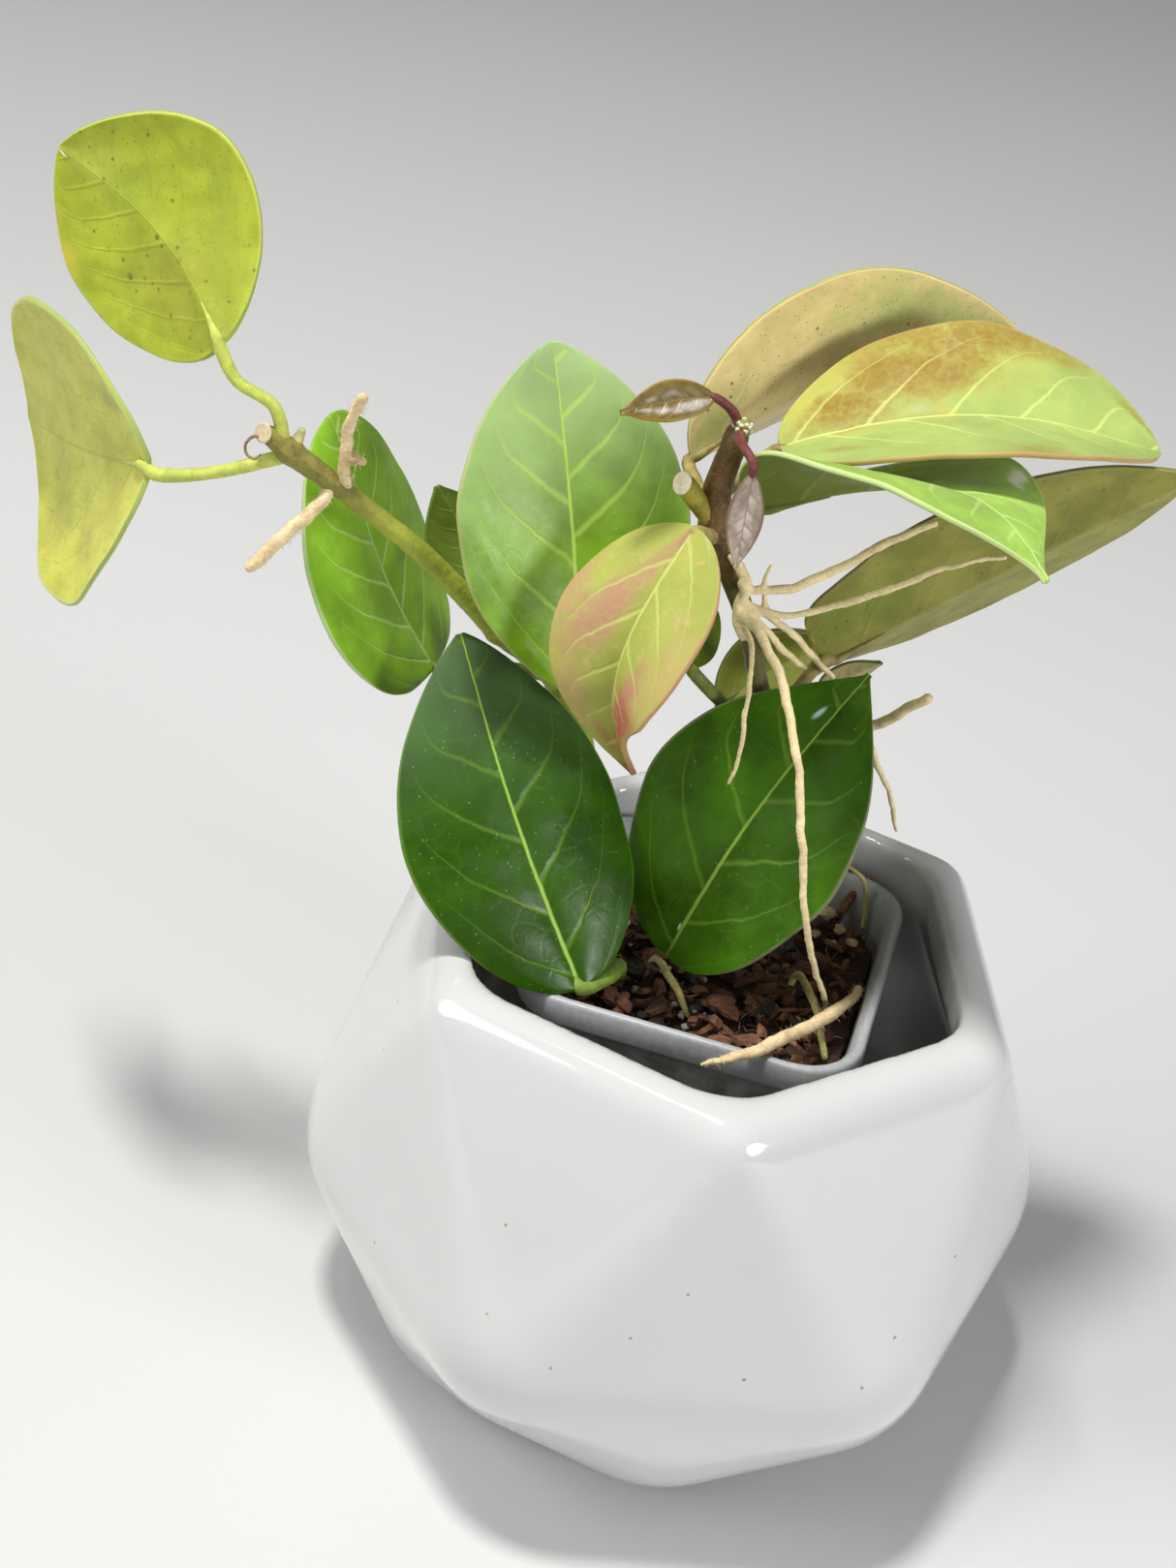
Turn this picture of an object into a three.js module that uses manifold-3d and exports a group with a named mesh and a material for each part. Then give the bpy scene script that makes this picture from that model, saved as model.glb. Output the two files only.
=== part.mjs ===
// A hoya cutting in a frosted nursery pot, standing inside a white faceted cachepot.
// Millimetres, +Z up. The origin is the centre of the cachepot's underside.
import * as THREE from "three";
import { ConvexGeometry } from "three/addons/geometries/ConvexGeometry.js";
import { mergeVertices } from "three/addons/utils/BufferGeometryUtils.js";
import Module from "manifold-3d";

const wasm = await Module();
wasm.setup();

// ---- driving dimensions -------------------------------------------------------------------
const CLEARANCE = 0.3;            // gap that touching pieces keep

const POT_HEIGHT = 94.8;          // cachepot, underside to lip
const POT_LIP_RADIUS = 56.1;      // corner radius of the hexagon at the lip
const POT_LIP_ROUNDING = 6.5;
const POT_WAIST_RADIUS = 67.8;    // corner radius of the hexagon at the waist
const POT_WAIST_HEIGHT = 41.2;
const POT_WAIST_ROUNDING = 24;
const POT_FOOT_RADIUS = 57.8;     // corner radius of the hexagon just above the floor
const POT_FOOT_ROUNDING = 26;
const POT_WALL = 7;
const POT_FLOOR = 8;              // height of the inner floor
const POT_FLOOR_RADIUS = 48;      // corner radius of the hollow just above its floor
const POT_FLOOR_ROUNDING = 12;
const POT_THROAT_RADIUS = 45.3;   // corner radius of the hollow where it is narrowest
const POT_THROAT_HEIGHT = 84.5;
const POT_MOUTH_RADIUS = 46.3;    // corner radius of the opening at the lip
const POT_MOUTH_ROUNDING = 13;    // of the opening's corners, seen from above
const POT_MOUTH_CHAMFER = 1.5;
const POT_MOUTH_SHIFT = [-0.4, 0.5]; // of the hollow from the middle of the pot
const POT_TURN = 40;              // degrees from +X to the first lip corner

const NURSERY_SIDE = 60.5;        // square inner pot, across the flats at its rim
const NURSERY_FOOT_SIDE = 44;
const NURSERY_CORNER = 10.5;
const NURSERY_WALL = 1.2;
const NURSERY_BAND = 5;           // height of the turned-out rim band
const NURSERY_BAND_STEP = 1.3;
const NURSERY_FLOOR = 1.6;
const NURSERY_RIM_HEIGHT = 89;
const NURSERY_CENTRE = [0.8, 3.8];
const NURSERY_TURN = -6.6;        // degrees
const NURSERY_FOOT_Z = POT_FLOOR + CLEARANCE;
const DRAIN_RADIUS = 3;
const DRAIN_OFFSET = 13;

const SOIL_HEIGHT = 83;
const SOIL_TOP_LIMIT = 92;        // no chip or twig stands higher
const SOIL_CHIPS = 42;
const SOIL_CHIP_MARGIN = 4;       // from the chips' middles to the nursery pot's rim
const SOIL_CHIP_TOP = 0.7;        // width of a chip's top, as a share of its foot
const SOIL_SEED = 11;

const BLADE_THICKNESS = 1.1;
const BLADE_EDGE_THICKNESS = 0.7;
const BLADE_ROWS = 10;            // along the midrib
const BLADE_HALF_COLUMNS = 3;     // from the midrib to one margin

const STEM_SIDES = 8;
const STEM_STEPS = 2;            // rings per span between the listed points
const PETIOLE_SIDES = 6;
const PETIOLE_STEPS = 1;
const ROOT_SIDES = 6;

// ---- small helpers --------------------------------------------------------------------------
const degrees = (angle) => (angle * Math.PI) / 180;
const vector = (p) => new THREE.Vector3(p[0], p[1], p[2]);
const mix = (a, b, t) => a + (b - a) * t;

function seededRandom(seed) {
  let state = seed;
  return () => {
    state = (state * 1664525 + 1013904223) % 4294967296;
    return state / 4294967296;
  };
}

function solidOf(geometry) {
  const bare = geometry.clone();
  bare.deleteAttribute("normal");
  bare.deleteAttribute("uv");
  const merged = mergeVertices(bare, 1e-4);
  const mesh = new wasm.Mesh({
    numProp: 3,
    vertProperties: Float32Array.from(merged.attributes.position.array),
    triVerts: Uint32Array.from(merged.index.array),
  });
  return new wasm.Manifold(mesh);
}

function geometryOf(solid) {
  const mesh = solid.getMesh();
  const geometry = new THREE.BufferGeometry();
  geometry.setAttribute("position", new THREE.BufferAttribute(mesh.vertProperties, 3));
  geometry.setIndex(new THREE.BufferAttribute(mesh.triVerts, 1));
  return geometry;
}

function fuse(solids) {
  return solids.reduce((whole, piece) => whole.add(piece));
}

// Closed skin over a stack of rings that all have the same number of points. The first and
// the last ring are closed by a fan round their centres.
function loftGeometry(rings) {
  const count = rings[0].length;
  const positions = [];
  const indices = [];
  for (const ring of rings) {
    for (const p of ring) positions.push(p.x, p.y, p.z);
  }
  for (let i = 0; i + 1 < rings.length; i += 1) {
    for (let j = 0; j < count; j += 1) {
      const a = i * count + j;
      const b = i * count + ((j + 1) % count);
      indices.push(a, b, b + count, a, b + count, a + count);
    }
  }
  const cap = (ring, offset, outward) => {
    const centre = new THREE.Vector3();
    for (const p of ring) centre.addScaledVector(p, 1 / count);
    const hub = positions.length / 3;
    positions.push(centre.x, centre.y, centre.z);
    for (let j = 0; j < count; j += 1) {
      const a = offset + j;
      const b = offset + ((j + 1) % count);
      if (outward) indices.push(hub, a, b);
      else indices.push(hub, b, a);
    }
  };
  cap(rings[0], 0, false);
  cap(rings[rings.length - 1], (rings.length - 1) * count, true);
  const geometry = new THREE.BufferGeometry();
  geometry.setAttribute("position", new THREE.Float32BufferAttribute(positions, 3));
  geometry.setIndex(indices);
  return geometry;
}

// Round tube along a smooth line through the points. Each point is [x, y, z, radius].
function tubeGeometry(points, sides, stepsPerSpan, extra = 0) {
  const curve = new THREE.CatmullRomCurve3(points.map(vector), false, "centripetal");
  const steps = (points.length - 1) * stepsPerSpan;
  let side = new THREE.Vector3(0.31, 0.87, 0.38);
  const rings = [];
  for (let i = 0; i <= steps; i += 1) {
    const t = i / steps;
    const centre = curve.getPoint(t);
    const along = curve.getTangent(t);
    if (i === 0) centre.addScaledVector(along, -extra);
    if (i === steps) centre.addScaledVector(along, extra);
    side = side.clone().addScaledVector(along, -side.dot(along)).normalize();
    const up = along.clone().cross(side);
    const span = Math.min(Math.floor(t * (points.length - 1)), points.length - 2);
    const local = t * (points.length - 1) - span;
    const radius = mix(points[span][3], points[span + 1][3], local) + extra;
    const ring = [];
    for (let j = 0; j < sides; j += 1) {
      const angle = (j / sides) * Math.PI * 2;
      ring.push(
        centre.clone()
          .addScaledVector(side, Math.cos(angle) * radius)
          .addScaledVector(up, Math.sin(angle) * radius),
      );
    }
    rings.push(ring);
  }
  return loftGeometry(rings);
}

const tubeSolid = (points, sides, steps = 2, extra = 0) =>
  solidOf(tubeGeometry(points, sides, steps, extra));

// ---- cachepot -------------------------------------------------------------------------------
// A hexagon at the lip, a wider one at the waist turned by half a side, and a smaller one at
// the foot, whose corners are balls. The skin stretched over the balls has 24 triangular
// facets with rounded edges between them.
function ballPoints(centre, radius, bands, sectors) {
  const points = [];
  for (let i = 0; i <= bands; i += 1) {
    const latitude = mix(-90, 90, i / bands);
    const around = i === 0 || i === bands ? 1 : sectors;
    for (let j = 0; j < around; j += 1) {
      const longitude = (360 * j) / sectors + POT_TURN;
      points.push(new THREE.Vector3().setFromSphericalCoords(
        radius,
        degrees(90 - latitude),
        degrees(longitude),
      ).applyAxisAngle(new THREE.Vector3(1, 0, 0), Math.PI / 2).add(centre));
    }
  }
  return points;
}

function cornerBalls(cornerRadius, height, turn, rounding, bands, sectors) {
  const points = [];
  for (let i = 0; i < 6; i += 1) {
    const angle = degrees(60 * i + turn);
    const reach = cornerRadius - rounding;
    const centre = new THREE.Vector3(reach * Math.cos(angle), reach * Math.sin(angle), height);
    points.push(...ballPoints(centre, rounding, bands, sectors));
  }
  return points;
}

// Outline of the opening at a height, with its corners rounded.
function hexagonRing(cornerRadius, height) {
  const points = [];
  const reach = cornerRadius - POT_MOUTH_ROUNDING;
  for (let i = 0; i < 6; i += 1) {
    const angle = degrees(60 * i + POT_TURN);
    for (let j = -3; j <= 3; j += 1) {
      const around = angle + degrees(10 * j);
      points.push(new THREE.Vector3(
        reach * Math.cos(angle) + POT_MOUTH_ROUNDING * Math.cos(around),
        reach * Math.sin(angle) + POT_MOUTH_ROUNDING * Math.sin(around),
        height,
      ));
    }
  }
  return points;
}

function cachepotSolid() {
  const outer = solidOf(new ConvexGeometry([
    ...cornerBalls(POT_LIP_RADIUS, POT_HEIGHT - POT_LIP_ROUNDING, POT_TURN, POT_LIP_ROUNDING, 8, 12),
    ...cornerBalls(POT_WAIST_RADIUS, POT_WAIST_HEIGHT, POT_TURN + 30, POT_WAIST_ROUNDING, 12, 24),
    ...cornerBalls(POT_FOOT_RADIUS, POT_FOOT_ROUNDING, POT_TURN, POT_FOOT_ROUNDING, 12, 24),
  ]));
  const throat = cornerBalls(POT_THROAT_RADIUS, POT_THROAT_HEIGHT, POT_TURN, POT_MOUTH_ROUNDING, 4, 24);
  const hollow = solidOf(new ConvexGeometry([
    ...throat,
    ...cornerBalls(
      POT_WAIST_RADIUS - POT_WALL,
      POT_WAIST_HEIGHT,
      POT_TURN + 30,
      POT_WAIST_ROUNDING - POT_WALL,
      6,
      12,
    ),
    ...cornerBalls(
      POT_FLOOR_RADIUS,
      POT_FLOOR + POT_FLOOR_ROUNDING,
      POT_TURN,
      POT_FLOOR_ROUNDING,
      6,
      12,
    ),
  ]));
  const above = POT_HEIGHT + POT_MOUTH_ROUNDING;
  const opening = solidOf(new ConvexGeometry([
    ...throat,
    ...cornerBalls(POT_MOUTH_RADIUS, above, POT_TURN, POT_MOUTH_ROUNDING, 4, 24),
  ]));
  const chamferReach = POT_MOUTH_RADIUS + 2 * POT_MOUTH_CHAMFER;
  const chamfer = solidOf(new ConvexGeometry([
    ...hexagonRing(POT_MOUTH_RADIUS - 1, POT_HEIGHT - POT_MOUTH_CHAMFER),
    ...hexagonRing(chamferReach, POT_HEIGHT + POT_MOUTH_CHAMFER),
  ]));
  const [shiftX, shiftY] = POT_MOUTH_SHIFT;
  const cut = fuse([hollow, opening, chamfer]).translate([shiftX, shiftY, 0]);
  return outer.subtract(cut);
}

// ---- nursery pot ----------------------------------------------------------------------------
function roundedSquare(side, corner, height) {
  const points = [];
  const reach = side / 2 - corner;
  const perCorner = 5;
  for (let i = 0; i < 4; i += 1) {
    const start = 90 * i;
    const middle = degrees(start + 45);
    const cx = Math.sign(Math.cos(middle)) * reach;
    const cy = Math.sign(Math.sin(middle)) * reach;
    for (let j = 0; j < perCorner; j += 1) {
      const angle = degrees(start + (90 * j) / (perCorner - 1));
      points.push(new THREE.Vector3(
        cx + corner * Math.cos(angle),
        cy + corner * Math.sin(angle),
        height,
      ));
    }
  }
  const turn = degrees(NURSERY_TURN);
  for (const p of points) {
    const x = p.x * Math.cos(turn) - p.y * Math.sin(turn) + NURSERY_CENTRE[0];
    const y = p.x * Math.sin(turn) + p.y * Math.cos(turn) + NURSERY_CENTRE[1];
    p.x = x;
    p.y = y;
  }
  return points;
}

// Side of the tapering wall's outer face at a height.
function nurserySide(height) {
  const t = (height - NURSERY_FOOT_Z) / (NURSERY_RIM_HEIGHT - NURSERY_FOOT_Z);
  return mix(NURSERY_FOOT_SIDE, NURSERY_SIDE - 2 * NURSERY_BAND_STEP, t);
}

function nurserySection(height, inset) {
  return roundedSquare(nurserySide(height) - 2 * inset, NURSERY_CORNER - inset, height);
}

function nurserySolid() {
  const rim = NURSERY_RIM_HEIGHT;
  const bandFoot = rim - NURSERY_BAND;
  const floorTop = NURSERY_FOOT_Z + NURSERY_FLOOR;
  const shell = solidOf(loftGeometry([
    nurserySection(NURSERY_FOOT_Z, 0.8),
    nurserySection(NURSERY_FOOT_Z + 1.5, 0),
    nurserySection(bandFoot - 1, 0),
    roundedSquare(NURSERY_SIDE, NURSERY_CORNER, bandFoot),
    roundedSquare(NURSERY_SIDE, NURSERY_CORNER, rim - 0.6),
    roundedSquare(NURSERY_SIDE - 1.2, NURSERY_CORNER - 0.6, rim),
    nurserySection(rim, 0.5),
    nurserySection(rim - 1.5, NURSERY_WALL),
    nurserySection(floorTop, NURSERY_WALL),
  ]));
  const drains = [];
  for (const [sx, sy] of [[1, 1], [-1, 1], [-1, -1], [1, -1]]) {
    const drain = new THREE.CylinderGeometry(DRAIN_RADIUS, DRAIN_RADIUS, 8, 10);
    drain.rotateX(Math.PI / 2);
    drain.translate(
      NURSERY_CENTRE[0] + sx * DRAIN_OFFSET,
      NURSERY_CENTRE[1] + sy * DRAIN_OFFSET,
      NURSERY_FOOT_Z,
    );
    drains.push(solidOf(drain));
  }
  return shell.subtract(fuse(drains));
}

// ---- stems ----------------------------------------------------------------------------------
// Points are [x, y, z, radius]. The stems are thicker at their nodes.
const MAIN_STEM = [
  [10, 17, 68, 1.7], [9, 17, 84, 1.8], [7, 15, 101, 1.8], [4, 14, 117, 1.7], [2, 12, 127, 1.7],
  [-1, 10, 137, 1.7], [-5, 8, 149, 1.7], [-9, 6, 158, 1.9], [-12.5, 5, 165, 2.5],
  [-13, 5, 169, 2.3], [-13, 5, 173, 2.1], [-12, 4.5, 179, 1.9], [-11.5, 4, 182, 1.9],
  [-10.5, 4, 184, 0.8],
];
const CUT_STUB = [[-12, 5, 165, 1.6], [-15, 3.5, 169, 1.6], [-17.8, 1.5, 173, 1.75]];

const VINE = [
  [-16, 7, 68, 1.8], [-17, 7, 84, 1.9], [-20, 7, 95, 1.9], [-23, 9, 105, 1.9],
  [-27, 10, 114, 1.9], [-30, 11, 122, 1.9], [-34, 10, 129, 2.2], [-40, 9, 134, 1.9],
  [-45, 7, 138, 1.9], [-49, 5, 143, 1.9], [-58, 1, 153, 1.8], [-64, -1, 158, 1.7],
  [-72, -3, 164, 1.7], [-79, -5, 169, 2.1], [-82.5, -5.5, 171.5, 1.5],
];

// Dormant bud beside the cut end of the vine.
const VINE_BUD = [[-79, -4.5, 168.5, 1.1], [-77.8, -3.6, 172.2, 0.7]];

// ---- leaves ---------------------------------------------------------------------------------
// base, tip: the two ends of the midrib. faces: the way the glossy upper side looks.
// arch, sway: how far the middle of the midrib stands out of and beside the straight line.
// foldBase, foldTip: degrees that each half is raised from flat. cup: droop of the margins.
// widest, baseRound, tipRound: shape of the outline. twist: degrees from base to tip.
// hook: how far the tip drops. petiole: points [x, y, z, radius] from the stem to the blade.
const LEAVES = {
  leaf_vine_end_upper: {
    base: [-91, -4, 184], tip: [-124, 16, 203], faces: [0.4, 0.9, -0.3], width: 38.5,
    arch: 2.4, sway: 2.6, foldBase: 27, foldTip: 0, cup: 0.14,
    widest: 1.04, baseRound: 0.56, tipRound: 0.72, twist: -25, hook: 0.5, colour: "#a3b13f",
    petiole: [[-80, -5, 169.5, 1.2], [-82, -5, 176, 1.0], [-88, -5, 179, 1.0], [-91, -4, 183, 1.1]],
    stem: "vine",
  },
  leaf_vine_end_lower: {
    base: [-102, -3, 161], tip: [-137, 36, 147], faces: [0.75, 0.66, 0], width: 52,
    arch: -1.2, sway: -1.3, foldBase: -4, foldTip: 2, cup: 0.25,
    widest: 0.93, baseRound: 0.58, tipRound: 1.09, twist: -7, hook: 0.5, colour: "#93994c",
    petiole: [[-79, -5, 168.5, 1.2], [-91, -5, 163, 1.0], [-101, -3.5, 160, 1.2]],
    stem: "vine",
  },
  leaf_vine_back: {
    base: [-57, 17, 123], tip: [-73, 13, 169], faces: [0.93, -0.22, 0.3], width: 37.5,
    arch: -2.4, sway: 2.8, foldBase: 7, foldTip: 3, cup: 0.16,
    widest: 0.82, baseRound: 0.36, tipRound: 0.52, twist: -6, hook: 5.6, colour: "#3d7a35",
    petiole: [[-35, 10, 130, 1.2], [-46, 15, 127, 1.0], [-56, 17, 123, 1.1]],
    stem: "vine",
  },
  leaf_vine_small_back: {
    base: [-46, 14, 139], tip: [-61, 23, 154], faces: [-0.3, 0.7, -0.7], width: 16,
    arch: 1, sway: 1, foldBase: 15, foldTip: 9, cup: 0.11,
    widest: 0.93, baseRound: 0.6, tipRound: 0.86, twist: 0, hook: 2, colour: "#55702f",
    petiole: [[-45, 7, 138, 1.0], [-44, 11, 139, 0.9], [-46, 14, 139.5, 0.9]],
    stem: "vine",
  },
  leaf_centre_tall: {
    base: [-29, -1, 135], tip: [-43, 15, 187], faces: [0.38, -0.85, 0.37], width: 40,
    arch: 1.7, sway: 0, foldBase: 14, foldTip: 12, cup: 0.07,
    widest: 1.0, baseRound: 0.58, tipRound: 0.71, twist: 0, hook: 1.3, colour: "#4e8f2c",
    petiole: [[-34, 10, 129, 1.3], [-31, 6, 129, 1.1], [-29, 1, 132, 1.1], [-29, -1, 135, 1.2]],
    stem: "vine",
  },
  leaf_young_blushed: {
    base: [-15, -2, 168], tip: [-18, -4, 123], faces: [-0.5, -0.86, 0.07], width: 27,
    arch: 12, sway: 0, foldBase: 7, foldTip: 45, cup: 0.12,
    widest: 0.61, baseRound: 0.95, tipRound: 1.0, twist: 0, hook: 0, colour: "#b3b64e",
    petiole: [[-12.5, 5, 164, 1.5], [-13.2, 1.6, 165.4, 1.3], [-15, -2, 167.4, 1.1]],
    stem: "main",
  },
  leaf_behind_young: {
    base: [-12, 7, 138.5], tip: [-33, 32, 145], faces: [0.37, 0.1, 0.93], width: 22.5,
    arch: 2.5, sway: -1.3, foldBase: 15, foldTip: 10, cup: 0.1,
    widest: 0.85, baseRound: 0.6, tipRound: 1.0, twist: 0, hook: 1, colour: "#2f5f2b",
    petiole: [[2.5, 12.5, 125, 1.2], [-5, 11, 130, 1.1], [-12, 7, 138, 1.1]],
    stem: "main",
  },
  leaf_front_left: {
    base: [-20, -20, 89.5], tip: [-50, 2, 139.5], faces: [0.43, -0.71, 0.55], width: 39,
    arch: 0.6, sway: 1.7, foldBase: 10, foldTip: -4, cup: 0.2,
    widest: 0.86, baseRound: 0.55, tipRound: 0.77, twist: -1, hook: 1.7, colour: "#2c6524",
    petiole: [[-15, -2, 76, 1.6], [-15, -5, 84, 1.6], [-16, -14, 88.5, 1.5], [-20, -20, 89.5, 1.3]],
    stem: "soil",
  },
  leaf_front_right: {
    base: [-7, -4, 88], tip: [17, 7, 144], faces: [-0.37, -0.87, 0.32], width: 40,
    arch: 3, sway: 1.3, foldBase: 20, foldTip: 5, cup: 0.1,
    widest: 0.88, baseRound: 0.53, tipRound: 1.0, twist: 5, hook: -1.3, colour: "#2c6a1f",
    petiole: [[-8, 5, 76, 1.4], [-8, 3, 84, 1.4], [-7, -3, 88.5, 1.3]],
    stem: "soil",
  },
  leaf_top_back: {
    base: [-19, 17, 171], tip: [29, 47, 192], faces: [-0.6, 0.69, 0.4], width: 38.5,
    arch: 3, sway: -1.6, foldBase: 27, foldTip: 14, cup: 0.01,
    widest: 0.94, baseRound: 0.5, tipRound: 0.88, twist: 3, hook: 0.2, colour: "#8c8350",
    petiole: [[-12.5, 5, 165, 1.2], [-14.8, 8, 168, 1.1], [-17.2, 12, 169.5, 1.1], [-19, 17, 170.5, 1.1]],
    stem: "main",
  },
  leaf_top_blushed: {
    base: [-5, 11, 178], tip: [54, 24, 182], faces: [-0.02, -0.21, 0.98], width: 38,
    arch: 7.7, sway: -0.8, foldBase: 15, foldTip: 24, cup: 0.03,
    widest: 0.89, baseRound: 0.5, tipRound: 0.6, twist: 4.5, hook: -1.7, colour: "#9fae3e",
    petiole: [[-13, 5, 170, 1.1], [-10, 9, 172.5, 1.0], [-5.5, 11, 177.5, 1.0]],
    stem: "main",
  },
  leaf_right_twisted: {
    base: [-6.3, 6.2, 169.6], tip: [35.3, -31, 183.7], faces: [-0.05, 0.3, 0.95], width: 43,
    arch: 7.8, sway: 10.3, foldBase: 28, foldTip: -10, cup: 0.06,
    widest: 0.64, baseRound: 0.84, tipRound: 1.4, twist: -3.6, hook: -0.2, colour: "#6fa637",
    petiole: [[-13, 5, 168, 1.1], [-10, 6, 167.3, 1.0], [-6.3, 6.2, 169.3, 1.1]],
    stem: "main",
  },
  leaf_right_back: {
    base: [9, 17, 139], tip: [62, 28, 179], faces: [-0.49, 0.75, 0.45], width: 40.5,
    arch: 0.8, sway: 0.4, foldBase: 18, foldTip: 15, cup: 0.04,
    widest: 0.86, baseRound: 0.25, tipRound: 0.85, twist: -6, hook: -0.9, colour: "#7f7f46",
    petiole: [[1, 11.5, 130, 1.2], [5, 13, 134, 1.1], [9, 16, 140, 1.2]],
    stem: "main",
  },
  leaf_low_back_small: {
    base: [9.7, 21, 129], tip: [17.9, 22, 139.6], faces: [-0.59, 0.75, 0.3], width: 9.5,
    arch: 0.6, sway: 0.3, foldBase: 14, foldTip: 10, cup: 0.11,
    widest: 0.89, baseRound: 0.6, tipRound: 1.0, twist: 0, hook: 1.7, colour: "#a1935f",
    petiole: [[3.5, 13.5, 120, 1.0], [6.8, 18, 122.5, 0.9], [9.7, 21, 128.6, 0.9]],
    stem: "main",
  },
  leaf_low_back: {
    base: [-7, 33, 117.8], tip: [14.3, 33, 136], faces: [-0.25, 0.9, 0.35], width: 18,
    arch: 2.4, sway: -0.6, foldBase: 15, foldTip: 10, cup: 0.1,
    widest: 0.86, baseRound: 0.58, tipRound: 1.0, twist: 0, hook: 1, colour: "#6a6a35",
    petiole: [[5, 14, 112, 1.1], [-1, 24, 112.5, 1.0], [-7, 33, 117.3, 1.0]],
    stem: "main",
  },
  leaflet_shoot_left: {
    base: [-16, 2, 188], tip: [-29, -6, 186], faces: [0.4, -0.71, 0.58], width: 6.6,
    arch: 0, sway: -0.5, foldBase: 14, foldTip: 10, cup: 0.1,
    widest: 0.86, baseRound: 0.6, tipRound: 1.0, twist: 0, hook: 0, colour: "#5c4a35",
    petiole: [[-11.3, 4, 183, 0.8], [-13, 3, 186, 0.8], [-16, 2, 188, 0.7]],
    stem: "main", thickness: 0.8,
  },
  leaflet_shoot_hanging: {
    base: [-7.8, -9.5, 181.8], tip: [-7.7, -10, 166.6], faces: [0.16, -0.98, 0.09], width: 5.8,
    arch: 0, sway: 0, foldBase: 16, foldTip: 10, cup: 0.1,
    widest: 0.9, baseRound: 0.6, tipRound: 1.0, twist: 0, hook: 0, colour: "#6c5560",
    petiole: [
      [-11, 4, 182.3, 0.8], [-11, -2, 184, 0.8], [-9.7, -7, 184.6, 0.7], [-8, -9.3, 183.5, 0.7],
      [-7.8, -9.5, 182, 0.7],
    ],
    stem: "main", thickness: 0.8,
  },
};

// Middle line, side and normal directions and half width of a leaf at t, from 0 to 1.
function leafStation(leaf, t) {
  const base = vector(leaf.base);
  const tip = vector(leaf.tip);
  const length = base.distanceTo(tip);
  const along = tip.clone().sub(base).normalize();
  const up = vector(leaf.faces);
  up.addScaledVector(along, -up.dot(along)).normalize();
  const side = up.clone().cross(along);
  const swell = Math.sin(Math.PI * t);
  const middle = base.clone()
    .addScaledVector(along, length * t)
    .addScaledVector(up, leaf.arch * swell - leaf.hook * t ** 4)
    .addScaledVector(side, leaf.sway * swell);
  const power = mix(leaf.baseRound, leaf.tipRound, t);
  const outline = Math.max(Math.sin(Math.PI * t ** leaf.widest), 0) ** power;
  const turn = degrees(leaf.twist) * (t - 0.5);
  const across = side.clone().multiplyScalar(Math.cos(turn)).addScaledVector(up, Math.sin(turn));
  const normal = up.clone().multiplyScalar(Math.cos(turn)).addScaledVector(side, -Math.sin(turn));
  return { middle, across, normal, half: Math.max((leaf.width / 2) * outline, 0.5) };
}

function leafPoint(leaf, t, u) {
  const { middle, across, normal, half } = leafStation(leaf, t);
  const fold = degrees(mix(leaf.foldBase, leaf.foldTip, t));
  return middle.clone()
    .addScaledVector(across, u * half * Math.cos(fold))
    .addScaledVector(normal, Math.abs(u) * half * Math.sin(fold) - leaf.cup * half * u * u);
}

function bladeGeometry(leaf) {
  const columns = 2 * BLADE_HALF_COLUMNS;
  const thickness = leaf.thickness ?? BLADE_THICKNESS;
  const positions = [];
  const indices = [];
  const index = (face, i, j) => (face * (BLADE_ROWS + 1) + i) * (columns + 1) + j;
  for (const sign of [-1, 1]) {
    for (let i = 0; i <= BLADE_ROWS; i += 1) {
      const t = mix(i / BLADE_ROWS, 0.5 - 0.5 * Math.cos((Math.PI * i) / BLADE_ROWS), 0.6);
      const { normal } = leafStation(leaf, t);
      for (let j = 0; j <= columns; j += 1) {
        const u = j / BLADE_HALF_COLUMNS - 1;
        const depth = mix(thickness, Math.min(BLADE_EDGE_THICKNESS, thickness), u * u);
        const p = leafPoint(leaf, t, u).addScaledVector(normal, (sign * depth) / 2);
        positions.push(p.x, p.y, p.z);
      }
    }
  }
  const quad = (a, b, c, d, flip) => {
    if (flip) indices.push(a, b, d, b, c, d);
    else indices.push(a, b, c, a, c, d);
  };
  for (let i = 0; i < BLADE_ROWS; i += 1) {
    for (let j = 0; j < columns; j += 1) {
      const flip = j >= BLADE_HALF_COLUMNS;
      quad(index(0, i, j), index(0, i, j + 1), index(0, i + 1, j + 1), index(0, i + 1, j), flip);
      const under = [index(1, i, j), index(1, i + 1, j), index(1, i + 1, j + 1), index(1, i, j + 1)];
      quad(...under, flip);
    }
    for (const j of [0, columns]) {
      const top = [index(0, i, j), index(0, i + 1, j)];
      const under = [index(1, i, j), index(1, i + 1, j)];
      if (j === 0) quad(top[0], top[1], under[1], under[0], false);
      else quad(top[1], top[0], under[0], under[1], false);
    }
  }
  for (let j = 0; j < columns; j += 1) {
    quad(index(0, 0, j + 1), index(0, 0, j), index(1, 0, j), index(1, 0, j + 1), false);
    const i = BLADE_ROWS;
    quad(index(0, i, j), index(0, i, j + 1), index(1, i, j + 1), index(1, i, j), false);
  }
  const geometry = new THREE.BufferGeometry();
  geometry.setAttribute("position", new THREE.Float32BufferAttribute(positions, 3));
  geometry.setIndex(indices);
  return geometry;
}

// The blade with its petiole, whose last stretch runs on into the midrib.
function leafSolid(leaf) {
  const ribEnd = leafPoint(leaf, 0.12, 0);
  const petiole = [...leaf.petiole, [ribEnd.x, ribEnd.y, ribEnd.z, 0.6]];
  return solidOf(bladeGeometry(leaf)).add(tubeSolid(petiole, PETIOLE_SIDES, PETIOLE_STEPS));
}

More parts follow.
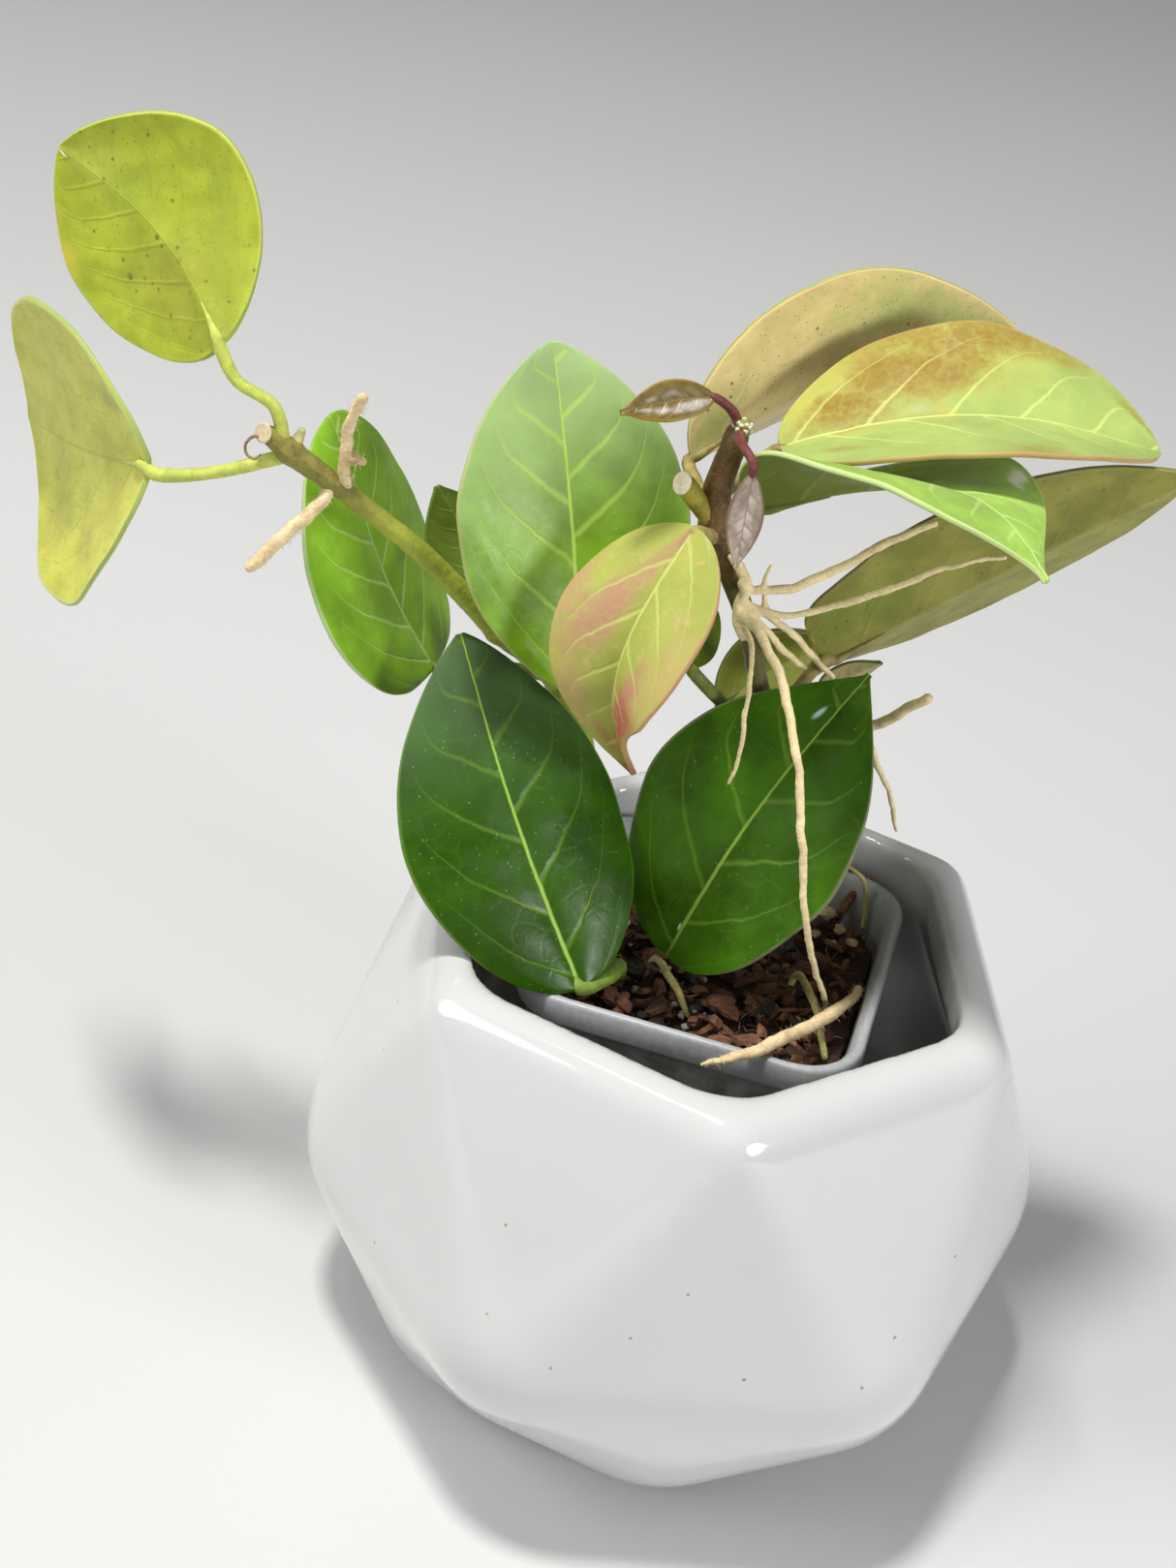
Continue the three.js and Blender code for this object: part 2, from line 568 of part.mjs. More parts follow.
// ---- roots ----------------------------------------------------------------------------------
// Aerial roots from the gnarled knot on the main stem. All of them start inside the knot.
const ROOT_KNOT = [
  [-9, 3.5, 161.5, 0.9], [-7, 2.5, 160, 1.2], [-5.8, 2, 157.5, 1.4], [-6.2, 2, 154.5, 1.3],
  [-5.8, 1.5, 151.5, 1.4], [-4.6, 0.5, 149.5, 0.9],
];
const KNOT_ROOTS = [
  [ // the long one that reaches the soil
    [-5.8, 1.5, 153, 1.1], [-3, -1, 152.5, 1.0], [-1, -3, 150.5, 1.0], [2, -5, 147.5, 0.95],
    [4, -8, 144, 0.9], [7.5, -12, 136.5, 0.85], [10.5, -14.5, 125.5, 0.8], [12.8, -15, 115, 0.75],
    [15, -15, 106.5, 0.7], [18, -12, 97, 0.65], [21, -6, 87, 0.6], [22, -3, 81, 0.55],
  ],
  [
    [-6, 1.5, 152.5, 0.7], [-3.5, 0, 149.5, 0.65], [-2.5, -1.5, 145, 0.6], [-2, -3.5, 136, 0.6],
    [-1.5, -5.5, 130, 0.55], [-2.5, -6.5, 126.5, 0.45],
  ],
  [
    [-5.5, 2, 155, 0.8], [-1, 4, 152, 0.7], [3, 6, 149, 0.65], [8, 12, 141.5, 0.55],
    [11, 14.5, 138, 0.5],
  ],
  [
    [-5.5, 2, 153.5, 0.7], [-1.5, 2.5, 150.5, 0.65], [3, 6, 145, 0.6], [6.3, 11, 140.5, 0.5],
  ],
  [
    [-5.8, 2, 157, 0.7], [0, 4, 157.5, 0.8], [6, 6, 160.5, 0.8], [14, 7, 167, 0.75],
    [21, 7.5, 172, 0.6],
  ],
  [
    [-5.5, 2, 154.5, 0.6], [1, 4, 153, 0.6], [9, 5, 156, 0.6], [17, 3, 162, 0.6],
    [25, 0, 169, 0.5], [32, -2, 173, 0.4],
  ],
  [[-2, 4, 153, 0.5], [-3, 3, 158, 0.45], [-2.5, 2, 162, 0.35]],
];

// Roots that leave the main stem behind the front right leaf.
const BACK_ROOTS = [
  [[2, 12, 127, 1.0], [10, 16, 125, 0.9], [19, 16, 129, 1.0], [27, 12, 139, 0.9]],
  [
    [2, 12, 127, 1.0], [10, 17, 126, 0.8], [19, 18, 125, 0.7], [22, 19, 120, 0.6],
    [25, 20, 115, 0.5], [28, 22, 106, 0.4],
  ],
];

const VINE_ROOT_UP = [
  [-70, -2.5, 162, 1.0], [-70.5, -4, 168, 1.2], [-70, -5, 175, 1.15], [-68, -7, 181, 0.9],
];
const VINE_ROOT_UP_KNOB = [[-70.3, -4.5, 170, 0.8], [-67.6, -4.8, 169.5, 0.6]];
const VINE_ROOT_DOWN = [
  [-72, -3, 164, 1.0], [-74, -5, 161, 1.1], [-78, -7, 156, 1.15], [-83, -9, 150, 1.0],
];

const SOIL_ROOTS = {
  root_on_soil_left: [
    [-10, 1, 81.5, 0.6], [-9, -1.5, 84.9, 0.7], [-6.1, -6.3, 85.3, 0.75], [-3.4, -10.6, 84.8, 0.65],
    [-1.5, -11.6, 81.8, 0.5],
  ],
  root_hanging_back: [
    [21, 27, 93.2, 0.4], [24.6, 27, 91.3, 0.5], [26.2, 26.4, 87, 0.55], [26.6, 24.5, 82, 0.5],
  ],
  root_on_soil_right: [
    [14.6, 0.2, 82, 0.6], [15.8, 1, 86, 0.7], [18.2, -3.7, 86.3, 0.75], [20.6, -10.3, 86, 0.7],
    [22.6, -15.4, 82.3, 0.6],
  ],
  root_across_rim: [
    [2.5, -31.9, 88.6, 0.4], [6.1, -31, 90, 0.8], [10.5, -27.9, 90.7, 1.1], [13.4, -24.4, 90.2, 1.15],
    [16.5, -19.5, 89, 1.15], [21.9, -11, 87.6, 1.2], [26, -2.8, 86.2, 0.9], [26.6, 0.5, 85.8, 0.8],
    [26.8, 4.5, 82, 0.7],
  ],
};

// ---- potting mix ----------------------------------------------------------------------------
const TWIG = [[21, 25, 80, 1.1], [24, 29, 86, 0.9], [28, 34, 90.5, 0.5]];
const SMALL_TWIG = [[14, -12, 82, 0.5], [19, -19, 85, 0.35]];
const TWIG_SIDES = 5;

function soilSolid(standing) {
  const random = seededRandom(SOIL_SEED);
  const inset = NURSERY_WALL + CLEARANCE;
  const foot = NURSERY_FOOT_Z + NURSERY_FLOOR + CLEARANCE;
  const body = solidOf(loftGeometry([nurserySection(foot, inset), nurserySection(SOIL_HEIGHT, inset)]));
  const reach = NURSERY_SIDE / 2 - SOIL_CHIP_MARGIN;
  const chips = [];
  for (let i = 0; i < SOIL_CHIPS; i += 1) {
    const size = [mix(3, 10, random() ** 2), mix(2.5, 6, random()), mix(1.8, 4, random())];
    const chip = new THREE.BoxGeometry(...size);
    const corner = chip.attributes.position;
    const tumble = new THREE.Matrix4().makeRotationFromEuler(new THREE.Euler(
      mix(-0.5, 0.5, random()),
      mix(-0.5, 0.5, random()),
      random() * Math.PI,
    ));
    for (let k = 0; k < corner.count; k += 1) {
      const squeeze = corner.getZ(k) > 0 ? SOIL_CHIP_TOP : 1;
      corner.setXY(k, corner.getX(k) * squeeze, corner.getY(k) * squeeze);
    }
    chip.applyMatrix4(tumble);
    chip.translate(
      NURSERY_CENTRE[0] + mix(-reach, reach, random()),
      NURSERY_CENTRE[1] + mix(-reach, reach, random()),
      SOIL_HEIGHT + mix(-1, 0.6, random()),
    );
    chips.push(solidOf(chip));
  }
  const twigs = [TWIG, SMALL_TWIG].map((points) => tubeSolid(points, TWIG_SIDES, 1));
  const room = [nurserySection(foot, inset), nurserySection(SOIL_TOP_LIMIT, inset)];
  const inside = solidOf(loftGeometry(room));
  const heap = fuse([body, ...chips, ...twigs]).intersect(inside);
  return standing.reduce((soil, piece) => soil.subtract(piece), heap);
}

// ---- assembly -------------------------------------------------------------------------------
const plant = new THREE.Group();

function addPiece(name, geometry, colour, roughness) {
  geometry.computeVertexNormals();
  const material = new THREE.MeshStandardMaterial({ color: colour, roughness, metalness: 0 });
  const mesh = new THREE.Mesh(geometry, material);
  mesh.name = name;
  plant.add(mesh);
}

const stemSolid = (extra) => fuse([
  tubeSolid(MAIN_STEM, STEM_SIDES, STEM_STEPS, extra),
  tubeSolid(CUT_STUB, STEM_SIDES, 1, extra),
]);
const mainStem = stemSolid(0);
const vineSolid = (extra) => fuse([
  tubeSolid(VINE, STEM_SIDES, STEM_STEPS, extra),
  tubeSolid(VINE_BUD, PETIOLE_SIDES, 1, extra),
]);
const vine = vineSolid(0);
const mainStemSpace = stemSolid(CLEARANCE);
const vineSpace = vineSolid(CLEARANCE);

addPiece("cachepot", geometryOf(cachepotSolid()), "#f2f2ef", 0.2);
addPiece("nursery_pot", geometryOf(nurserySolid()), "#8f9496", 0.45);
addPiece("main_stem", geometryOf(mainStem), "#4a352b", 0.6);
addPiece("vine_stem", geometryOf(vine), "#7d7d2c", 0.55);

const inSoil = [mainStemSpace, vineSpace];
for (const [name, leaf] of Object.entries(LEAVES)) {
  let solid = leafSolid(leaf);
  if (leaf.stem === "main") solid = solid.subtract(mainStemSpace);
  if (leaf.stem === "vine") solid = solid.subtract(vineSpace);
  if (leaf.stem === "soil") inSoil.push(tubeSolid(leaf.petiole, PETIOLE_SIDES, PETIOLE_STEPS, CLEARANCE));
  addPiece(name, geometryOf(solid), leaf.colour, 0.4);
}

const knot = fuse([
  tubeSolid(ROOT_KNOT, ROOT_SIDES, 2),
  ...KNOT_ROOTS.map((points) => tubeSolid(points, ROOT_SIDES, 1)),
]);
addPiece("aerial_roots_knot", geometryOf(knot.subtract(mainStemSpace)), "#b79a6c", 0.8);
const backRoots = fuse(BACK_ROOTS.map((points) => tubeSolid(points, ROOT_SIDES, 2)));
addPiece("aerial_roots_back", geometryOf(backRoots.subtract(mainStemSpace)), "#c2a877", 0.8);
const vineRootUp = fuse([
  tubeSolid(VINE_ROOT_UP, ROOT_SIDES, 2),
  tubeSolid(VINE_ROOT_UP_KNOB, ROOT_SIDES, 1),
]);
addPiece("vine_root_up", geometryOf(vineRootUp.subtract(vineSpace)), "#b09468", 0.85);
const vineRootDown = tubeSolid(VINE_ROOT_DOWN, ROOT_SIDES, 2);
addPiece("vine_root_down", geometryOf(vineRootDown.subtract(vineSpace)), "#c0a068", 0.85);

inSoil.push(tubeSolid(KNOT_ROOTS[0], ROOT_SIDES, 1, CLEARANCE));
for (const [name, points] of Object.entries(SOIL_ROOTS)) {
  addPiece(name, geometryOf(tubeSolid(points, ROOT_SIDES, 2)), "#b3a35f", 0.8);
  inSoil.push(tubeSolid(points, ROOT_SIDES, 2, CLEARANCE));
}
addPiece("potting_mix", geometryOf(soilSolid(inSoil)), "#3b241a", 0.95);

export default plant;
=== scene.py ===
"""A hoya cutting in a frosted nursery pot, standing inside a white faceted cachepot."""

import math
import random

import bpy
from mathutils import Matrix, Vector, noise


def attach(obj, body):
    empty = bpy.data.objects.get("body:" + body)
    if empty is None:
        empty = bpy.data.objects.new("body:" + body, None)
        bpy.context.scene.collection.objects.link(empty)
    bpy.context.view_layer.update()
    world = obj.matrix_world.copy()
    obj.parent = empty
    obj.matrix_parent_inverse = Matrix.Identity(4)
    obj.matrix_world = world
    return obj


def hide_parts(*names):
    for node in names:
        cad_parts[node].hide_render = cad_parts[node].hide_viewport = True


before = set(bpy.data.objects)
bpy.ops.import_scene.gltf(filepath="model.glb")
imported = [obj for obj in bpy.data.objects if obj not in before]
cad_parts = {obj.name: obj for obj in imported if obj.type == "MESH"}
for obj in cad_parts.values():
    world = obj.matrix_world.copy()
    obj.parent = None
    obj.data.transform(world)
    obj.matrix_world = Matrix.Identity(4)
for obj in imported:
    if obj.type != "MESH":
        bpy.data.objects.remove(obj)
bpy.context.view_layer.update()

bl_info = {
    "name": "Potted hoya",
    "version": (1, 0, 0),
    "blender": (4, 5, 0),
    "location": "3D View > Sidebar > Hoya",
    "description": "Builds a hoya cutting in a nursery pot and a faceted cachepot",
    "category": "Add Mesh",
}

MM = 0.001


# ---- sizes and colours ---------------------------------------------------------------------------
def length(name, description, default):
    """A size in metres that a user can change."""
    return bpy.props.FloatProperty(
        name=name, description=description, default=default, min=0.0, unit="LENGTH", precision=4
    )


def colour(name, description, default):
    """A colour that a user can change."""
    return bpy.props.FloatVectorProperty(
        name=name, description=description, default=default, size=3, min=0.0, max=1.0,
        subtype="COLOR",
    )


class HoyaPotSizes(bpy.types.PropertyGroup):
    """Sizes of the cachepot, the nursery pot and the potting mix"""

    height: length("Height", "Cachepot, underside to lip", 0.0948)
    lip_radius: length("Lip radius", "To a corner of the hexagon at the lip", 0.0561)
    waist_radius: length("Waist radius", "To a corner of the hexagon at the waist", 0.0678)
    waist_height: length("Waist height", "Height of the widest hexagon", 0.0412)
    foot_radius: length("Foot radius", "To a corner of the hexagon above the floor", 0.0578)
    throat_radius: length(
        "Throat radius", "To a corner of the opening where it is narrowest", 0.0453)
    wall: length("Wall", "Thickness of the cachepot's wall", 0.007)
    facet_softness: length(
        "Facet softness", "Grain of the skin that the facet edges melt into", 0.0014)
    nursery_side: length("Nursery pot side", "Square inner pot, across its rim", 0.0605)
    nursery_foot: length("Nursery pot foot", "Square inner pot, across its foot", 0.044)
    nursery_rim: length("Nursery rim height", "Rim of the inner pot above the floor", 0.089)
    soil_height: length("Soil height", "Top of the potting mix above the floor", 0.0828)


class HoyaPlantSizes(bpy.types.PropertyGroup):
    """Sizes of the leaves and roots"""

    blade_thickness: length("Blade thickness", "Thickness of a leaf in its middle", 0.00095)
    leaf_grain: length("Leaf grain", "Distance between the blade's rows of faces", 0.0011)
    root_grain: length("Root grain", "Size of the skin faces on fused roots", 0.00028)
    fuzz_length: length("Fuzz length", "Length of the hairs on the woody roots", 0.0012)


class HoyaColours(bpy.types.PropertyGroup):
    """Colours that belong to no single leaf"""

    glaze: colour("Glaze", "White glaze of the cachepot", (0.60, 0.60, 0.597))
    plastic: colour("Nursery plastic", "Frosted plastic of the inner pot", (0.39, 0.40, 0.41))
    bark: colour("Bark", "Reddish bark chips", (0.26, 0.11, 0.055))
    main_stem: colour("Main stem", "Brown stem from the soil", (0.17, 0.10, 0.035))
    vine: colour("Vine", "Olive trailing stem", (0.39, 0.45, 0.05))
    root: colour("Roots", "Dry tan aerial roots", (1.0, 0.82, 0.46))
    floor: colour("Floor", "Pale floor under the pot", (0.62, 0.62, 0.615))


# ---- modelling helpers ---------------------------------------------------------------------------
def begin():
    """Object mode with nothing selected."""
    if bpy.context.object and bpy.context.object.mode != "OBJECT":
        bpy.ops.object.mode_set(mode="OBJECT")
    bpy.ops.object.select_all(action="DESELECT")


def only(piece):
    """Object mode with this piece alone selected and active."""
    begin()
    piece.select_set(True)
    bpy.context.view_layer.objects.active = piece


def modify(piece, kind, **settings):
    """Adds a modifier with these settings and applies it."""
    only(piece)
    modifier = piece.modifiers.new(kind.title(), kind)
    for key, value in settings.items():
        setattr(modifier, key, value)
    bpy.ops.object.modifier_apply(modifier=modifier.name)


def join(pieces, name):
    """Makes the pieces one object, with the first one's place and settings."""
    begin()
    for piece in pieces:
        piece.select_set(True)
    bpy.context.view_layer.objects.active = pieces[0]
    if len(pieces) > 1:
        bpy.ops.object.join()
    whole = bpy.context.object
    whole.name = name
    return whole


def settle(piece):
    """Puts the object at the origin with its place in its mesh."""
    only(piece)
    bpy.ops.object.transform_apply(location=True, rotation=True, scale=True)


def dress(piece, *materials):
    """Gives the piece these materials and no others."""
    piece.data.materials.clear()
    for material in materials:
        piece.data.materials.append(material)


def stand_for(piece, node):
    """The finished piece takes the place of a solid of the frame."""
    settle(piece)
    bpy.ops.object.shade_smooth()
    piece.data.name = piece.name
    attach(piece, "root")
    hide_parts(node)


def smooth_path(points, steps):
    """Even points on the smooth line through the listed ones, each (x, y, z, radius) in mm."""
    spots = [Vector(p[:3]) for p in points]
    last = len(spots) - 1
    path = []
    for i in range(last * steps + 1):
        span = min(i // steps, last - 1)
        w = i / steps - span
        a, b = spots[span], spots[span + 1]
        before = spots[span - 1] if span > 0 else 2 * a - b
        after = spots[span + 2] if span + 2 <= last else 2 * b - a
        d0, d1, d2 = (math.sqrt((q - p).length) for p, q in ((before, a), (a, b), (b, after)))
        leave = ((a - before) / d0 - (b - before) / (d0 + d1) + (b - a) / d1) * d1
        arrive = ((b - a) / d1 - (after - a) / (d1 + d2) + (after - b) / d2) * d1
        spot = a + leave * w + (3 * (b - a) - 2 * leave - arrive) * w * w
        spot += (2 * (a - b) + leave + arrive) * w**3
        radius = points[span][3] * (1 - w) + points[span + 1][3] * w
        path.append((spot.x, spot.y, spot.z, radius))
    return path


DOME_STEPS = ((0.35, 0.93), (0.65, 0.74), (0.88, 0.42))  # how far out and how wide, in radii


def rounded_ends(path, first):
    """Adds the short steps that close a tube's last end, and its first if asked, as a dome."""
    def dome(end, inner):
        out = (Vector(end[:3]) - Vector(inner[:3])).normalized()
        centre = Vector(end[:3])
        return [(*(centre + out * end[3] * reach), end[3] * size)
                for reach, size in DOME_STEPS]

    path = path + dome(path[-1], path[-2])
    if first:
        path = dome(path[0], path[1])[::-1] + path
    return path


BEND_SEED = 4                        # Blender starts this noise from the clock if it isn't set


def kinked(path, sway):
    """The same path with small bends, in mm."""
    noise.seed_set(BEND_SEED)
    return [(*(Vector(p[:3]) + noise.noise_vector(Vector(p[:3]) * 0.3) * sway), p[3]) for p in path]


def tube(name, points, steps, roundness=3, first=False, sway=0.0):
    """Round tube along a smooth line, from a path whose points carry the radius."""
    path = rounded_ends(kinked(smooth_path(points, steps), sway), first)
    begin()
    bpy.ops.curve.primitive_nurbs_path_add(location=(0, 0, 0))
    piece = bpy.context.object
    piece.name = name
    line = piece.data
    line.splines.clear()
    spline = line.splines.new("POLY")
    spline.points.add(len(path) - 1)
    for point, (x, y, z, radius) in zip(spline.points, path):
        point.co = (x * MM, y * MM, z * MM, 1)
        point.radius = radius
    line.dimensions = "3D"
    line.bevel_depth = MM
    line.bevel_resolution = roundness
    line.use_fill_caps = True
    bpy.ops.object.convert(target="MESH")
    return bpy.context.object


def knobbly(piece, size, strength):
    """Small bumps along the surface. Both lengths are in mm."""
    texture = bpy.data.textures.new(piece.name + "_bumps", "CLOUDS")
    texture.noise_scale = size * MM
    modify(piece, "DISPLACE", texture=texture, texture_coords="GLOBAL",
           strength=strength * MM, mid_level=0.5)


def fused(pieces, name, grain):
    """Several overlapping tubes as one skin."""
    piece = join(pieces, name)
    modify(piece, "REMESH", mode="VOXEL", voxel_size=grain)
    modify(piece, "SMOOTH", factor=0.5, iterations=3)
    return piece


def pebble(name, centre, size, detail, stretch=(1, 1, 1)):
    """A small rounded lump, sizes in mm."""
    begin()
    bpy.ops.mesh.primitive_ico_sphere_add(
        subdivisions=detail, radius=size * MM, location=Vector(centre) * MM, scale=stretch
    )
    piece = bpy.context.object
    piece.name = name
    return piece


# ---- shader helpers ------------------------------------------------------------------------------
class Shader:
    """The nodes of one material or node group, added one at a time."""

    def __init__(self, tree):
        self.tree = tree

    def add(self, kind, values=None, **settings):
        node = self.tree.nodes.new("ShaderNode" + kind)
        for key, value in settings.items():
            setattr(node, key, value)
        for key, value in (values or {}).items():
            self.feed(node.inputs[key], value)
        return node

    def feed(self, socket, value):
        """Links another node's output, or sets a plain value."""
        if isinstance(value, bpy.types.NodeSocket):
            self.tree.links.new(value, socket)
        else:
            socket.default_value = value

    def math(self, operation, a, b=0.0):
        return self.add("Math", {0: a, 1: b}, operation=operation).outputs[0]

    def ease(self, value, start, end, low=0.0, high=1.0):
        """Smooth step of the value from start to end."""
        node = self.add("MapRange", {0: value, 1: start, 2: end, 3: low, 4: high},
                        interpolation_type="SMOOTHSTEP")
        return node.outputs[0]

    def mix(self, amount, a, b):
        """Colour a where the amount is 0, b where it is 1."""
        node = self.add("Mix", data_type="RGBA")
        for index, value in ((0, amount), (6, a), (7, b)):
            self.feed(node.inputs[index], value)
        return node.outputs[2]

    def noise(self, place, scale, detail=2.0, rough=0.5):
        node = self.add("TexNoise", {"Vector": place, "Scale": scale, "Detail": detail,
                                     "Roughness": rough})
        return node.outputs["Fac"]

    def cells(self, place, scale, feature="F1", output="Distance", randomness=1.0, flat=False):
        node = self.add("TexVoronoi", feature=feature,
                        voronoi_dimensions="2D" if flat else "3D")
        self.feed(node.inputs["Vector"], place)
        self.feed(node.inputs["Scale"], scale)
        self.feed(node.inputs["Randomness"], randomness)
        return node.outputs[output]

    def dots(self, place, scale):
        """Distance to the nearest of many scattered spots, and a number that each spot draws."""
        drawn = self.add("SeparateColor", {0: self.cells(place, scale, output="Color")})
        return self.cells(place, scale), drawn.outputs[0]

    def group(self, tree, values):
        """A node group in this material, with these values. Returns its outputs."""
        node = self.tree.nodes.new("ShaderNodeGroup")
        node.node_tree = tree
        for key, value in values.items():
            self.feed(node.inputs[key], value)
        return node.outputs

    def object_place(self, stretch=(1, 1, 1)):
        """Object coordinates, or the same stretched along the axes."""
        place = self.add("TexCoord").outputs["Object"]
        if stretch == (1, 1, 1):
            return place
        return self.add("Mapping", {"Vector": place, "Scale": stretch}).outputs[0]

    def bump(self, height, strength, distance):
        node = self.add("Bump", {"Strength": strength, "Distance": distance, "Height": height})
        return node.outputs[0]


def rgba(tone):
    """The colour with the alpha that a socket asks for."""
    return (tone[0], tone[1], tone[2], 1.0)


def shaded(tone, share):
    """A darker or lighter colour of the same hue."""
    return [c * share for c in tone]


def new_material(name, preview):
    """An empty material, its shader helper and its surface shader."""
    material = bpy.data.materials.new(name)
    material.use_nodes = True
    material.diffuse_color = rgba(preview)
    shader = Shader(material.node_tree)
    return material, shader, material.node_tree.nodes["Principled BSDF"]


def new_group(name, inputs, outputs):
    """An empty node group with named sockets, with its helper, its inputs and its output node."""
    tree = bpy.data.node_groups.new(name, "ShaderNodeTree")
    for label, kind in inputs:
        tree.interface.new_socket(label, in_out="INPUT", socket_type="NodeSocket" + kind)
    for label, kind in outputs:
        tree.interface.new_socket(label, in_out="OUTPUT", socket_type="NodeSocket" + kind)
    shader = Shader(tree)
    given = tree.nodes.new("NodeGroupInput").outputs
    out = tree.nodes.new("NodeGroupOutput").inputs
    return tree, shader, given, out


def mottle_group():
    """Slow and fine colour variation over a surface."""
    tree, s, given, out = new_group(
        "Mottle",
        (("Place", "Vector"), ("Scale", "Float"), ("Light", "Color"), ("Dark", "Color"),
         ("Fleck", "Color"), ("Fleck Amount", "Float")),
        (("Colour", "Color"), ("Height", "Float")),
    )
    slow = s.noise(given["Place"], given["Scale"], 3.0, 0.6)
    fine = s.noise(given["Place"], s.math("MULTIPLY", given["Scale"], 7.0), 3.0, 0.65)
    base = s.mix(s.ease(slow, 0.3, 0.7), given["Dark"], given["Light"])
    flecks = s.math("MULTIPLY", s.ease(fine, 0.56, 0.70), given["Fleck Amount"])
    s.feed(out["Colour"], s.mix(flecks, base, given["Fleck"]))
    s.feed(out["Height"], s.math("ADD", slow, s.math("MULTIPLY", fine, 0.5)))
    return tree


def venation_group():
    """Masks of a leaf's midrib, its side veins and the net between them, from the blade's own
    coordinates: across from -0.5 to 0.5 and along from 0 to 1, both in blade lengths."""
    tree, s, given, out = new_group(
        "Venation",
        (("Across", "Float"), ("Along", "Float"), ("Margin", "Float"), ("Spacing", "Float"),
         ("Slant", "Float"), ("Vein Width", "Float"), ("Shift", "Float")),
        (("Midrib", "Float"), ("Side Veins", "Float"), ("Net", "Float"), ("Ribs", "Float")),
    )
    across, along = given["Across"], given["Along"]
    reach = s.math("ABSOLUTE", across)
    blade = s.add("CombineXYZ", {0: across, 1: along, 2: given["Shift"]}).outputs[0]
    drift = s.math("MULTIPLY", s.math("SUBTRACT", s.noise(blade, 5.0, 2.0), 0.5), 0.05)
    jitter = s.math("MULTIPLY", s.math("SUBTRACT", s.noise(blade, 26.0, 2.0), 0.5), 0.016)
    taper = s.math("SUBTRACT", 1.0, s.math("MULTIPLY", along, 0.75))
    rib = s.math("MULTIPLY", s.math("MULTIPLY", given["Vein Width"], 1.15), taper)
    away = s.math("ABSOLUTE", s.math("ADD", across, s.math("MULTIPLY", jitter, 0.35)))
    s.feed(out["Midrib"], s.math("SUBTRACT", 1.0, s.ease(away, s.math("MULTIPLY", rib, 0.35), rib)))
    rise = s.math("ADD", s.math("MULTIPLY", reach, given["Slant"]),
                  s.math("MULTIPLY", s.math("POWER", reach, 2.0), 0.9))
    rise = s.math("ADD", rise, s.math("MULTIPLY", s.ease(given["Margin"], 0.55, 1.0), 0.09))
    side = s.math("MULTIPLY", s.math("SIGN", across), 0.22)
    wandering = s.math("ADD", along, s.math("ADD", drift, jitter))
    steps = s.math("DIVIDE", s.math("SUBTRACT", wandering, rise), given["Spacing"])
    phase = s.math("FRACT", s.math("ADD", s.math("ADD", steps, side), given["Shift"]))
    apart = s.math("MULTIPLY", s.math("ABSOLUTE", s.math("SUBTRACT", phase, 0.5)), given["Spacing"])
    thin = s.math("MULTIPLY", given["Vein Width"],
                  s.math("SUBTRACT", 1.25, s.math("MULTIPLY", given["Margin"], 0.75)))
    line = s.math("SUBTRACT", 1.0, s.ease(apart, 0.0, s.math("MULTIPLY", thin, 1.5)))
    inside = s.math("SUBTRACT", 1.0, s.ease(given["Margin"], 0.72, 0.93))
    fade = s.ease(given["Margin"], 0.1, 0.95, 1.0, 0.45)
    s.feed(out["Side Veins"], s.math("MULTIPLY", s.math("MULTIPLY", line, inside), fade))
    between = s.ease(apart, 0.0, s.math("MULTIPLY", given["Spacing"], 0.5))
    s.feed(out["Ribs"], s.math("MULTIPLY", between, inside))
    bent = s.add("CombineXYZ", {0: s.math("ADD", across, jitter), 1: s.math("ADD", along, drift),
                                2: 0.0}).outputs[0]
    edge = s.cells(bent, s.math("DIVIDE", 3.1, given["Spacing"]), "DISTANCE_TO_EDGE",
                   randomness=0.9, flat=True)
    net = s.math("SUBTRACT", 1.0, s.ease(edge, 0.01, 0.13))
    net = s.math("MULTIPLY", net, s.ease(s.noise(blade, 7.0, 2.0), 0.42, 0.62))
    short = s.math("SUBTRACT", 1.0, s.ease(given["Margin"], 0.88, 0.98))
    s.feed(out["Net"], s.math("MULTIPLY", net, short))
    return tree


def glaze_material(colour):
    """White glaze: slightly wavy, under a clear coat, with a few dark pinholes."""
    material, s, surface = new_material("white_glaze", colour)
    place = s.object_place()
    slow = s.noise(place, 22.0, 3.0)
    fine = s.noise(place, 260.0, 2.0)
    dots, lucky = s.dots(place, 260.0)
    pinhole = s.math("MULTIPLY", s.math("SUBTRACT", 1.0, s.ease(dots, 0.05, 0.12)),
                     s.math("GREATER_THAN", lucky, 0.91))
    body = s.mix(s.ease(slow, 0.35, 0.7), rgba(shaded(colour, 0.97)), rgba(colour))
    s.feed(surface.inputs["Base Color"],
           s.mix(s.math("MULTIPLY", pinhole, 0.75), body, (0.16, 0.13, 0.11, 1)))
    s.feed(surface.inputs["Roughness"], s.ease(fine, 0.3, 0.75, 0.07, 0.12))
    height = s.math("ADD", slow, s.math("MULTIPLY", fine, 0.06))
    height = s.math("SUBTRACT", height, s.math("MULTIPLY", pinhole, 0.35))
    s.feed(surface.inputs["Normal"], s.bump(height, 0.35, 0.0006))
    surface.inputs["IOR"].default_value = 1.5
    surface.inputs["Coat Weight"].default_value = 0.6
    surface.inputs["Coat Roughness"].default_value = 0.02
    return material


